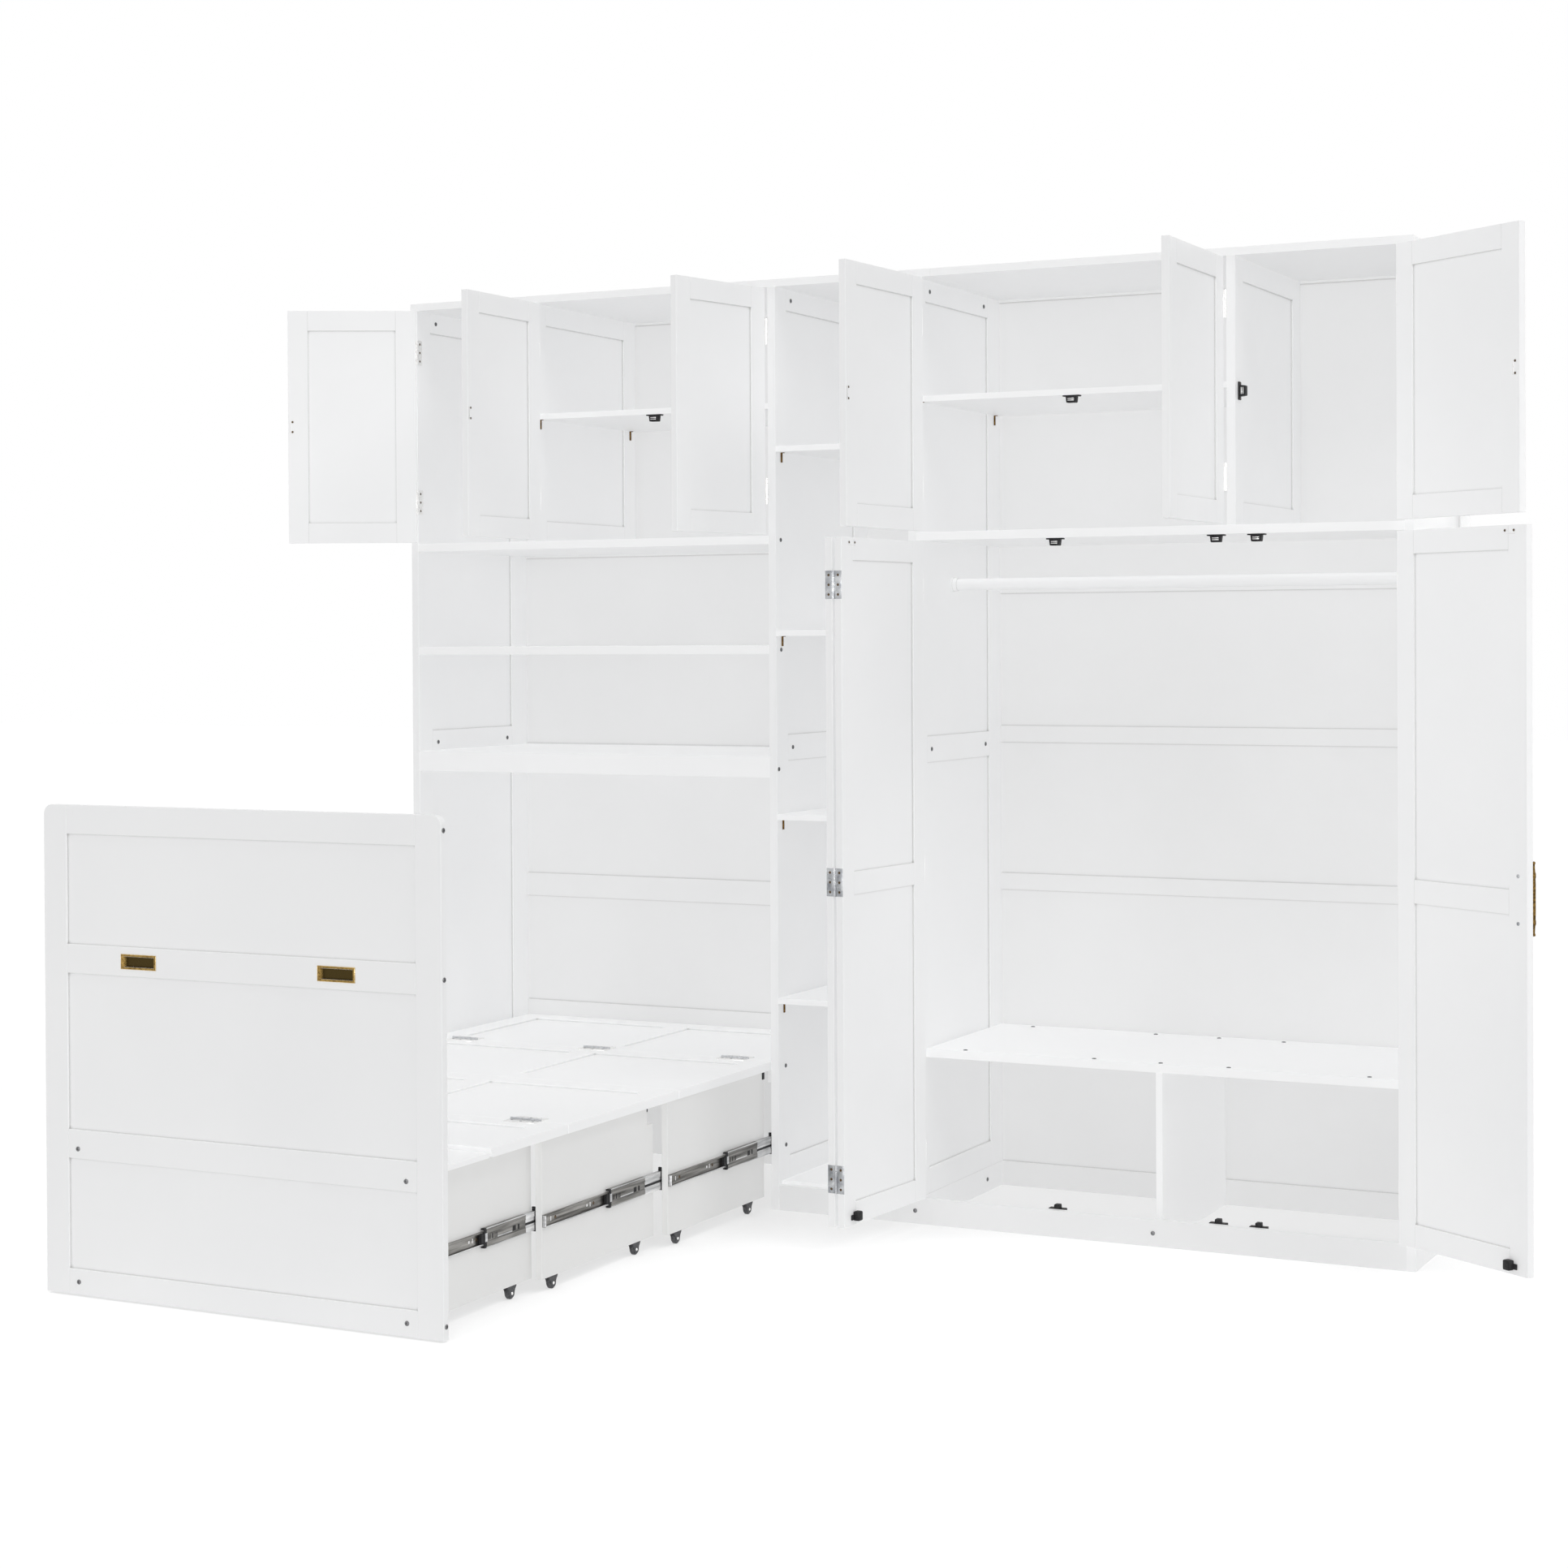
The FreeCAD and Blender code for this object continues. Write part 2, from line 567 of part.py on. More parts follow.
def front_clearance(length, lever, step):
    """Room between the front board's leading edge and the footboard at one stage of the closing."""
    angle = math.pi * step
    carried = BOARD_B_L * (1 - math.cos(angle)) - lever * math.sin(angle)
    upper = -length * math.cos(angle) - DECK_PIN_RISE * math.sin(angle)
    under = -(length - BOARD_D_BEVEL) * math.cos(angle) - (DECK_PIN_RISE + DECK_T) * math.sin(angle)
    return ROW_2_Y + carried + min(upper, under) - FOOTBOARD_BACK - BED_REACH * step


BOARD_D_L = board_d_length()
DECK_X0 = BAY_X0 + DECK_SIDE_GAP
DECK_X1 = BAY_X1 - DECK_SIDE_GAP
STRIP_REAR = ROW_2_Y - BOARD_D_L - STRIP_GAP
STRIP_BOTTOM = DECK_BOTTOM + SECTION_TOP_GAP
STRIP_TOP = STRIP_BOTTOM + STRIP_T


def front_strip():
    """Thin fixed strip of deck behind the footboard, which runs in under board A as the bed shuts."""
    return box(DECK_X0, DECK_X1, FOOTBOARD_BACK, STRIP_REAR, STRIP_BOTTOM, STRIP_TOP)


def deck_board(y0, y1, front_bevel=0):
    outline = [
        V(DECK_X0, y0 + front_bevel, DECK_BOTTOM),
        V(DECK_X0, y1, DECK_BOTTOM),
        V(DECK_X0, y1, DECK_TOP),
        V(DECK_X0, y0, DECK_TOP),
    ]
    board = prism(outline, V(DECK_X1 - DECK_X0, 0, 0))
    middle = (DECK_X0 + DECK_X1) / 2
    for x0, x1 in ((DECK_X0 + DECK_FRAME_W, middle - DECK_FRAME_W / 2),
                   (middle + DECK_FRAME_W / 2, DECK_X1 - DECK_FRAME_W)):
        board = board.cut(box(x0, x1, y0 + DECK_FRAME_W, y1 - DECK_FRAME_W,
                              DECK_TOP - DECK_FIELD_DEPTH, DECK_TOP))
    return board


def deck_hinge(x, y, direction, on_top):
    """One half of a deck hinge: a plate on the board on the given side of the pin, with its knuckles."""
    face = DECK_TOP if on_top else DECK_BOTTOM
    away = 1 if on_top else -1
    pin_z = face + away * DECK_PIN_RISE
    plate_z = sorted((face, face + away * DECK_HINGE_T))
    reach = DECK_PIN_RISE + DECK_SEAM / 2
    plate_y = sorted((y + direction * reach, y + direction * DECK_HINGE_W))
    half = DECK_HINGE_L / 2
    hinge = box(x - half, x + half, *plate_y, *plate_z)
    knuckle_l = DECK_HINGE_L / 3
    own = (0, 2) if direction > 0 else (1,)
    for i in own:
        start = x - half + i * knuckle_l + DECK_SEAM / 4
        length = knuckle_l - DECK_SEAM / 2
        knuckle = disc(DECK_KNUCKLE_R, V(start, y, pin_z), V(1, 0, 0))
        tab_y = min(y, y + direction * reach)
        corners = [V(start, tab_y, plate_z[0]), V(start, tab_y + reach, plate_z[0]),
                   V(start, tab_y + reach, plate_z[1]), V(start, tab_y, plate_z[1])]
        tab = Part.Face(Part.makePolygon(corners + [corners[0]]))
        profile = knuckle.fuse(tab).removeSplitter().Faces[0]
        hinge = hinge.fuse(profile.extrude(V(length, 0, 0)))
    return hinge.removeSplitter()


def hinge_row(y, direction, on_top):
    places = (DECK_X0 + DECK_HINGE_INSET, BAY_MID, DECK_X1 - DECK_HINGE_INSET)
    return [deck_hinge(x, y, direction, on_top) for x in places]


def make_deck():
    half_seam = DECK_SEAM / 2
    rebate = box(DECK_X0, DECK_X1, ROW_1_Y, STRIP_REAR + BED_REACH + STRIP_GAP,
                 DECK_BOTTOM, STRIP_TOP + STRIP_RUN)
    board_a = deck_board(ROW_1_Y + half_seam, INNER_DEPTH - DECK_WALL_GAP)
    save("deck_board_a", board_a.cut(rebate))
    save("deck_board_b", deck_board(SEAM_Y + half_seam, ROW_1_Y - half_seam))
    save("deck_board_c", deck_board(ROW_2_Y + half_seam, SEAM_Y - half_seam))
    save("deck_board_d", deck_board(ROW_2_Y - BOARD_D_L, ROW_2_Y - half_seam, BOARD_D_BEVEL))
    save("deck_hinges_a", *hinge_row(ROW_1_Y, 1, True))
    save("deck_hinges_b", *hinge_row(ROW_1_Y, -1, True), *hinge_row(SEAM_Y, 1, False))
    save("deck_hinges_c", *hinge_row(SEAM_Y, -1, False), *hinge_row(ROW_2_Y, 1, True))
    save("deck_hinges_d", *hinge_row(ROW_2_Y, -1, True))


# Ball-bearing slides: an outer, a middle and an inner channel on each side of each stage
def channel(web_x, toward, height, depth, span):
    """A channel along Y whose back is at web_x and whose flanges point along toward."""
    half = height / 2
    lip = half - CHANNEL_T
    profile = [(0, -half), (depth, -half), (depth, -lip), (CHANNEL_T, -lip),
               (CHANNEL_T, lip), (depth, lip), (depth, half), (0, half)]
    points = [V(web_x + toward * x, span[0], SLIDE_Z + z) for x, z in profile]
    return prism(points, V(0, span[1] - span[0], 0))


def slide_pair(half, height, depth, offset, inward, span):
    """The same channel on both sides, its back offset from the faces at half width."""
    pair = []
    for side in (-1, 1):
        face_x = BAY_MID + side * half
        toward = -side if inward else side
        pair.append(channel(face_x + toward * offset, toward, height, depth, span))
    return pair


def trimmed(span):
    return span[0] + SLIDE_END, span[1] - SLIDE_END


def shifted(span, travel):
    return span[0] + travel, span[1] + travel


def make_slides():
    stage_3 = shifted(trimmed(SECTION_3), STROKE_3)
    stage_2 = trimmed(SECTION_3)
    stage_1 = trimmed(SECTION_2)
    outer = (OUTER_H, OUTER_DEPTH, 0, True)
    middle = (MIDDLE_H, MIDDLE_DEPTH, CHANNEL_T + MIDDLE_PLAY, True)
    inner = (INNER_H, INNER_DEPTH_X, 0, False)
    save("cabinet_slide_rails", *slide_pair(HALF_3 + SLIDE_W, *outer, stage_3))
    save("middle_slides_3", *slide_pair(HALF_3 + SLIDE_W, *middle, shifted(stage_3, -STROKE_3 / 2)))
    save("middle_slides_2", *slide_pair(HALF_2 + SLIDE_W, *middle, shifted(stage_2, -STROKE_2 / 2)))
    save("middle_slides_1", *slide_pair(HALF_1 + SLIDE_W, *middle, shifted(stage_1, -STROKE_1 / 2)))
    casters_3 = caster_forks(HALF_3, caster_stations(SECTION_3))
    casters_2 = caster_forks(HALF_2, caster_stations(SECTION_2))
    casters_1 = caster_forks(HALF_1, caster_stations(SECTION_1)[1:])
    save("section_3_hardware", *slide_pair(HALF_3, *inner, trimmed(SECTION_3)),
         *slide_pair(HALF_2 + SLIDE_W, *outer, stage_2), *casters_3)
    save("section_2_hardware", *slide_pair(HALF_2, *inner, trimmed(SECTION_2)),
         *slide_pair(HALF_1 + SLIDE_W, *outer, stage_1), *casters_2)
    save("section_1_hardware", *slide_pair(HALF_1, *inner, trimmed(SECTION_1)), *casters_1)


# Casters under the side boards, front and rear, with one wheel between two cheeks
def caster_stations(span):
    return span[0] + CASTER_FROM_FRONT, span[1] - CASTER_FROM_REAR


def lane(half, side):
    return BAY_MID + side * (half - SECTION_T / 2)


def caster_forks(half, stations):
    forks = []
    room = WHEEL_W / 2 + CHEEK_PLAY
    wide = room + CHEEK_T
    under = SECTION_BOTTOM - CASTER_PLATE_T
    for y in stations:
        for side in (-1, 1):
            x = lane(half, side)
            fork = box(x - wide, x + wide, y - CASTER_L / 2, y + CASTER_L / 2, under, SECTION_BOTTOM)
            for cheek_x in (x - wide, x + room):
                outline = [V(cheek_x, y - CASTER_L / 2, under), V(cheek_x, y + CASTER_L / 2, under),
                           V(cheek_x, y + 3 * AXLE_R, WHEEL_R - 2 * AXLE_R),
                           V(cheek_x, y - 3 * AXLE_R, WHEEL_R - 2 * AXLE_R)]
                fork = fork.fuse(prism(outline, V(CHEEK_T, 0, 0)))
            axle = Part.makeCylinder(AXLE_R, 2 * room, V(x - room, y, WHEEL_R), V(1, 0, 0))
            forks.append(fork.fuse(axle).removeSplitter())
    return forks


def wheel_pair(half, y):
    wheels = []
    for side in (-1, 1):
        x = lane(half, side) - WHEEL_W / 2
        tyre = Part.makeCylinder(WHEEL_R, WHEEL_W, V(x, y, WHEEL_R), V(1, 0, 0))
        bore = Part.makeCylinder(AXLE_R + AXLE_PLAY, WHEEL_W, V(x, y, WHEEL_R), V(1, 0, 0))
        wheels.append(tyre.cut(bore))
    return wheels


def make_wheels():
    save("wheels_1_rear", *wheel_pair(HALF_1, caster_stations(SECTION_1)[1]))
    for number, half, span in ((2, HALF_2, SECTION_2), (3, HALF_3, SECTION_3)):
        for place, y in zip(("front", "rear"), caster_stations(span)):
            save("wheels_%d_%s" % (number, place), *wheel_pair(half, y))


# Shelf pins: an angle under each shelf corner, with its upright leg on the wall
def shelf_pin(wall_x, into, y, z):
    tab = box(*sorted((wall_x, wall_x + into * PIN_TAB)), y - PIN_TAB_T, y + PIN_TAB_T, z - PIN_TAB_T / 2, z)
    leg = box(*sorted((wall_x, wall_x + into * PIN_TAB_T)), y - PIN_TAB_T, y + PIN_TAB_T, z - PIN_DROP, z)
    return tab.fuse(leg)


def make_shelf_pins():
    spans = [(BAY_DIVIDER_X + SIDE_T, BAY_X1, CABINET_SHELF_Z), (WARD_X0, WARD_DIVIDER_X, CABINET_SHELF_Z)]
    spans += [(TOWER_X0, TOWER_X1, z) for z in tower_shelf_heights()]
    pins = []
    for x0, x1, z in spans:
        for y in (STILE_W / 2, INNER_DEPTH - STILE_W / 2):
            pins.append(shelf_pin(x0, 1, y, z))
            pins.append(shelf_pin(x1, -1, y, z))
    save("shelf_pins", *pins)


# Magnetic catches: under the cabinet shelves and floor, on the dividers and behind the plinth
def make_catches():
    half = CATCH_W / 2
    front = DOOR_T + DOOR_GAP
    shelf_front = CABINET_SHELF_SETBACK
    catches = []
    for x0, x1 in ((BAY_DIVIDER_X + SIDE_T, BAY_X1), (WARD_X0, WARD_DIVIDER_X)):
        x = (x0 + x1) / 2
        catches.append(box(x - half, x + half, shelf_front, shelf_front + CATCH_D,
                           CABINET_SHELF_Z - CATCH_H, CABINET_SHELF_Z))
    z = (CABINET_Z + TOP_Z) / 2
    for wall, into in ((BAY_DIVIDER_X, -1), (WARD_DIVIDER_X + SIDE_T, 1)):
        span = sorted((wall, wall + into * CATCH_H))
        catches.append(box(*span, front, front + CATCH_D, z - half, z + half))
    for x in (LEAF_AB_X - CATCH_EDGE, LEAF_BC_X - CATCH_EDGE, LEAF_BC_X + CATCH_EDGE):
        catches.append(box(x - half, x + half, front, front + CATCH_D,
                           CABINET_FLOOR_Z - CATCH_H, CABINET_FLOOR_Z))
        catches.append(box(x - half, x + half, PLINTH_T, PLINTH_T + CATCH_D,
                           PLINTH_H - CATCH_DROP, PLINTH_H + CATCH_RISE))
    save("magnet_catches", *catches)


# Socket-head bolts that hold the frames together, shown by their heads
def bolt_heads(axis, places):
    return [disc(BOLT_R, V(*place), axis).extrude(axis * BOLT_HEAD) for place in places]


def make_bolts():
    front = STILE_W + BOLT_INSET
    rear = INNER_DEPTH - STILE_W - SIDE_T / 2 - BOLT_INSET
    mid = MID_RAIL_Z + STILE_W / 2
    high = TOP_Z - CABINET_RAIL_W / 2
    foot = PLINTH_H / 2
    walls = (BAY_X0, TOWER_X0, WARD_X0)
    places = [(wall, y, z) for wall in walls for y in (front, rear) for z in (mid, high)]
    places += [(TOWER_X0, BOLT_INSET, CABINET_FLOOR_Z + SHELF_T / 2),
               (TOWER_X0, BOLT_INSET, OPEN_SHELF_Z + SHELF_T / 2),
               (TOWER_X0, SIDE_T / 2, DESK_Z + SHELF_T),
               (TOWER_X0, PLINTH_T + SIDE_T, DECK_BOTTOM + DECK_T / 2),
               (TOWER_X0, PLINTH_T + SIDE_T, SLIDE_Z),
               (WARD_X0, rear, foot)]
    heads = bolt_heads(V(1, 0, 0), places)
    middle = (WARD_X0 + WARD_X1) / 2
    heads += bolt_heads(V(0, -1, 0), [(TOWER_X1 + SIDE_T / 2, 0, foot), (middle, 0, foot)])
    reach = WARD_W / 2 - BENCH_BOLT_END
    bench_x = [middle + reach * share for share in (-1, -1 / 3, 0, 1 / 3, 1)]
    bench_y = (BENCH_SETBACK + BOLT_INSET / 2, INNER_DEPTH - BOLT_INSET)
    heads += bolt_heads(Z_AXIS, [(x, y, BENCH_Z + SHELF_T) for x in bench_x for y in bench_y])
    save("cabinet_bolts", *heads)
    x0 = BAY_X0 + FOOTBOARD_SIDE_GAP
    x1 = BAY_X1 - FOOTBOARD_SIDE_GAP
    base_z = FOOTBOARD_LIFT + FOOTBOARD_BASE_RAIL / 2
    low_z = FOOTBOARD_LOW_RAIL_Z + SIDE_T
    faces = [(x, -BED_REACH, z) for x in (x0 + front, x1 - front) for z in (base_z, low_z)]
    heads = bolt_heads(V(0, -1, 0), faces)
    rails = (base_z, FOOTBOARD_PULL_RAIL_Z + STILE_W / 2, FOOTBOARD_TOP - STILE_W / 2)
    edge_y = -BED_REACH + FOOTBOARD_T / 2
    heads += bolt_heads(V(-1, 0, 0), [(x0, edge_y, z) for z in rails])
    heads += bolt_heads(V(1, 0, 0), [(x1, edge_y, z) for z in rails])
    save("footboard_bolts", *heads)


os.makedirs("parts", exist_ok=True)
make_carcass()
make_backs()
make_shelves()
make_cleats()
make_upper_doors()
make_door_hinges()
make_wardrobe_leaves()
make_footboard()
make_sections()
make_deck()
make_slides()
make_wheels()
make_shelf_pins()
make_catches()
make_bolts()
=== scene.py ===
import json
import math

import bmesh
import bpy
from mathutils import Matrix, Vector


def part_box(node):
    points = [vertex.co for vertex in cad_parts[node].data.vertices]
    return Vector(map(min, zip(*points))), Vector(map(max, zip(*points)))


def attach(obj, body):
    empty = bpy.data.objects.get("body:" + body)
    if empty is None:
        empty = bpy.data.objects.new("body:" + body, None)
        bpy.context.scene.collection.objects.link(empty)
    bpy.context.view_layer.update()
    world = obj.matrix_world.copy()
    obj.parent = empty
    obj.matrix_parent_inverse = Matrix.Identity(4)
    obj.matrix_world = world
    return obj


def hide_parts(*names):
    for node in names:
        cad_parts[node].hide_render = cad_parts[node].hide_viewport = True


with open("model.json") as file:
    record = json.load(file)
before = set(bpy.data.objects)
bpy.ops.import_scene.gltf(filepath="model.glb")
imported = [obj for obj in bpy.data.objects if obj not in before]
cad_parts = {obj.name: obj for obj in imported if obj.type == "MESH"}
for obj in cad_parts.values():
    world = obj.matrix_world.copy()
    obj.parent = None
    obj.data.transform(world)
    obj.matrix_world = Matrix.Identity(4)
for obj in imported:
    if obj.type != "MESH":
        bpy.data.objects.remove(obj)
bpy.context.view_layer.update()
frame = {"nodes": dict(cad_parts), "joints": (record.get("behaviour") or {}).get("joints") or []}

# Camera: it stands well out in front of the wardrobe at chest height and looks left across the unit,
# level, with the lens shifted down so that the uprights stay parallel.
lens = bpy.data.cameras.new("camera")
lens.sensor_width = 36.0
lens.lens = 63.77
lens.shift_y = -0.0743
camera = bpy.data.objects.new("camera", lens)
camera.location = (2.7161, -5.8864, 1.3580)
camera.rotation_euler = (math.radians(89.406), math.radians(0.290), math.radians(26.527))
bpy.context.scene.collection.objects.link(camera)
bpy.context.scene.camera = camera
bpy.context.scene.view_settings.view_transform = "Standard"

# Light: an even white room, one soft lamp high on the right and a wide one at the ceiling, with fill lamps
# on every side that throw no shadow, so that the insides of the cabinets are nearly as bright as their
# fronts. To the eye, and to anything that mirrors it, the room is plain white.
WHITE = (1.0, 1.0, 1.0, 1.0)
ROOM_LIGHT = 0.45
LAMP_SPREAD = 20.0
CEILING_SPREAD = 60.0
SHADOW_LAMPS = ("key", "ceiling")
LAMPS = {"key": ((0.75, -0.20, 0.63), 0.30), "ceiling": ((0, -0.25, 1), 0.24), "front": ((0, -1, 0), 0.83),
         "right": ((1, 0, 0), 0.61), "top": ((0, 0, 1), 0.80), "left": ((-1, 0, 0), 0.36),
         "rear": ((0, 1, 0), 0.34), "under": ((0, 0, -1), 0.16)}

for side, (toward_lamp, strength) in LAMPS.items():
    lamp = bpy.data.lights.new(side + "_lamp", "SUN")
    lamp.energy = strength
    lamp.angle = math.radians(CEILING_SPREAD if side == "ceiling" else LAMP_SPREAD)
    lamp.use_shadow = side in SHADOW_LAMPS
    holder = bpy.data.objects.new(side + "_lamp", lamp)
    holder.rotation_euler = Vector(toward_lamp).to_track_quat("Z", "Y").to_euler()
    bpy.context.scene.collection.objects.link(holder)


class Recipe:
    """The nodes of one finish, or of the room, and how they are joined up."""

    def __init__(self, owner):
        owner.use_nodes = True
        self.nodes = owner.node_tree.nodes
        self.links = owner.node_tree.links

    def plug(self, node, **sockets):
        """Set a node's sockets by name, linked where another node's output is given."""
        for name, value in sockets.items():
            socket = node.inputs[name.replace("_", " ")]
            if isinstance(value, bpy.types.NodeSocket):
                self.links.new(value, socket)
            else:
                socket.default_value = value
        return node

    def node(self, kind, **sockets):
        """One new node with its sockets set."""
        return self.plug(self.nodes.new("ShaderNode" + kind), **sockets)

    def larger(self, first, second):
        """The larger of two numbers."""
        pick = self.node("Math")
        pick.operation = "MAXIMUM"
        self.links.new(first, pick.inputs[0])
        self.links.new(second, pick.inputs[1])
        return pick.outputs[0]

    def lit_or_seen(self, lit, seen):
        """One shader on the rays that light things, another to the eye, in a mirror or through glass."""
        path = self.node("LightPath").outputs
        mirrored = self.larger(path["Is Camera Ray"], path["Is Glossy Ray"])
        mix = self.node("MixShader", Fac=self.larger(mirrored, path["Is Transmission Ray"]))
        self.links.new(lit, mix.inputs[1])
        self.links.new(seen, mix.inputs[2])
        return mix.outputs[0]


room = bpy.data.worlds.new("room")
bpy.context.scene.world = room
room_recipe = Recipe(room)
room_recipe.nodes.clear()
room_lit = room_recipe.node("Background", Color=WHITE, Strength=ROOM_LIGHT).outputs[0]
room_seen = room_recipe.node("Background", Color=WHITE, Strength=1.0).outputs[0]
room_recipe.node("OutputWorld", Surface=room_recipe.lit_or_seen(room_lit, room_seen))

# Floor: a plain pale sheet that runs out to the white of the room. It keeps the unit's soft shadow, and
# its glow is dimmed near the unit as a painted shadow, deepest inside the wardrobe's foot and under the bed.
FLOOR_REACH = 30.0
FLOOR_BOUNCE = (0.76, 0.76, 0.76, 1.0)
FLOOR_SHADE = (0.45, 0.45, 0.45, 1.0)
FLOOR_GLOW = 0.64
FLOOR_GLOW_IN_SHADOW = 0.42
FLOOR_SHADOW_REACH = 0.80
FLOOR_OPEN_SKY = (0.25, 0.62)

floor_mesh = bpy.data.meshes.new("floor")
floor_bm = bmesh.new()
bmesh.ops.create_grid(floor_bm, x_segments=1, y_segments=1, size=FLOOR_REACH)
floor_bm.to_mesh(floor_mesh)
floor_bm.free()
floor = bpy.data.objects.new("floor", floor_mesh)
bpy.context.scene.collection.objects.link(floor)
floor_finish = bpy.data.materials.new("pale_floor")
floor_recipe = Recipe(floor_finish)
floor_recipe.nodes.clear()
# Ambient occlusion dims the floor's glow near the unit: a painted shadow.
floor_shadow_ao = floor_recipe.node("AmbientOcclusion", Distance=FLOOR_SHADOW_REACH)
floor_shadow_ao.samples = 16
floor_glow = floor_recipe.node("MapRange", Value=floor_shadow_ao.outputs["AO"], From_Min=FLOOR_OPEN_SKY[0],
                               From_Max=FLOOR_OPEN_SKY[1], To_Min=FLOOR_GLOW_IN_SHADOW, To_Max=FLOOR_GLOW)
floor_sum = floor_recipe.node("AddShader")
floor_recipe.links.new(floor_recipe.node("BsdfDiffuse", Color=FLOOR_SHADE).outputs[0], floor_sum.inputs[0])
floor_recipe.links.new(floor_recipe.node("Emission", Strength=floor_glow.outputs["Result"]).outputs[0],
                       floor_sum.inputs[1])
floor_lit = floor_recipe.node("BsdfDiffuse", Color=FLOOR_BOUNCE).outputs[0]
floor_recipe.node("OutputMaterial", Surface=floor_recipe.lit_or_seen(floor_lit, floor_sum.outputs[0]))
floor_mesh.materials.append(floor_finish)

# Side panels: four uprights of satin-painted board, each a pair of full-height stiles with rails
# between them and a thinner panel let into each opening. The joints show as hairlines in the paint,
# greyed by painted shade in the grooves.
ARRIS = 0.0007
TONGUE = 0.006
FRAME_SINK = 0.005
GROOVE_SHADE_REACH = 0.008
GROOVE_SHADE = (0.82, 0.40)
CLOUD_SPAN = (0.3, 0.7)
PAINT_CLOUDS = 2.4
PAINT_SHEEN = 38.0
PAINT_STIPPLE = 620.0
STIPPLE_RELIEF = (0.0003, 0.12)
FLAT = 0.0
UPRIGHT_STILE = 0.060
UPRIGHT_FOOT_RAIL = 0.120
UPRIGHT_MID_RAIL = (1.068, 1.128)
UPRIGHT_TOP_RAIL = 0.050
UPRIGHT_REAR_STILE = 0.090
PLINTH_HEIGHT = 0.060
PLINTH_DEPTH = 0.018


class Finish(Recipe):
    """A surface of one of the pieces, which reads the piece's own coordinates. Its slot says what it is, and
    its crease is the angle past which an edge stays sharp."""

    def __init__(self, name, slot, crease=FLAT):
        self.slot = slot
        self.crease = crease
        self.material = bpy.data.materials.new(name)
        super().__init__(self.material)
        self.shader = self.nodes["Principled BSDF"]
        self.place = self.node("TexCoord").outputs["Object"]

    def cloudy(self, scale, detail=2.0, place=None):
        """A soft irregular pattern of one size, from 0 to 1."""
        place = self.place if place is None else place
        return self.node("TexNoise", Vector=place, Scale=scale, Detail=detail).outputs["Fac"]

    def spread(self, pattern, span, low=0.0, high=1.0):
        """A pattern spread between two plain numbers, over the given span of the pattern."""
        return self.node("MapRange", Value=pattern, From_Min=span[0], From_Max=span[1],
                         To_Min=low, To_Max=high).outputs["Result"]

    def between(self, pattern, low, high):
        """A cloudy pattern spread between two plain numbers."""
        return self.spread(pattern, CLOUD_SPAN, low, high)

    def blended(self, pattern, low, high):
        """A cloudy pattern spread between two colours."""
        ramp = self.node("ValToRGB", Fac=pattern)
        for stop, share, colour in zip(ramp.color_ramp.elements, CLOUD_SPAN, (low, high)):
            stop.position = share
            stop.color = (*colour, 1.0)
        return ramp.outputs["Color"]

    def raised(self, height, depth, strength):
        """A surface relief of a given depth in metres."""
        return self.node("Bump", Height=height, Distance=depth, Strength=strength).outputs["Normal"]

    def painted_corner_shade(self, reach):
        """Painted shade: 0 on a piece's open faces, up to 1 in its own grooves and inside corners."""
        corner = self.node("AmbientOcclusion", Distance=reach)
        corner.samples = 8
        corner.only_local = True
        return self.spread(corner.outputs["AO"], GROOVE_SHADE)

    def over(self, pattern, ground, top):
        """One plain colour laid over another by a pattern."""
        mix = self.node("Mix")
        mix.data_type = "RGBA"
        self.plug(mix, Factor=pattern, A=ground, B=(*top, 1.0))
        return mix.outputs["Result"]


def painted(name, low, high, groove, sheen):
    """White paint, cloudy in tone and lightly stippled; its groove colour is painted shade in the grooves."""
    finish = Finish(name, "white_paint")
    open_face = finish.blended(finish.cloudy(PAINT_CLOUDS, detail=3.0), low, high)
    finish.plug(finish.shader, Base_Color=finish.over(finish.painted_corner_shade(GROOVE_SHADE_REACH), open_face, groove),
                Roughness=finish.between(finish.cloudy(PAINT_SHEEN), *sheen),
                Normal=finish.raised(finish.cloudy(PAINT_STIPPLE), *STIPPLE_RELIEF))
    return finish


paint = painted("satin_white_paint", (0.872, 0.875, 0.880), (0.898, 0.900, 0.903), (0.54, 0.54, 0.535),
                (0.30, 0.40))


def block(bm, low, high):
    """One square-edged block between two corners."""
    verts = bmesh.ops.create_cube(bm, size=1.0)["verts"]
    bmesh.ops.scale(bm, vec=[b - a for a, b in zip(low, high)], verts=verts)
    bmesh.ops.translate(bm, vec=[(a + b) / 2 for a, b in zip(low, high)], verts=verts)
    return verts


def ease(bm, edges, by, segments=2, clamp=False):
    """Take some sharp edges off, held back where there is no room if asked."""
    bmesh.ops.bevel(bm, geom=edges, offset=by, offset_type="OFFSET", affect="EDGES", segments=segments,
                    profile=0.5, material=-1, clamp_overlap=clamp)


def board(bm, low, high, arris=ARRIS):
    """One planed board between two corners, with its sharp edges taken off."""
    made = block(bm, low, high)
    ease(bm, list(dict.fromkeys(edge for vert in made for edge in vert.link_edges)), arris)


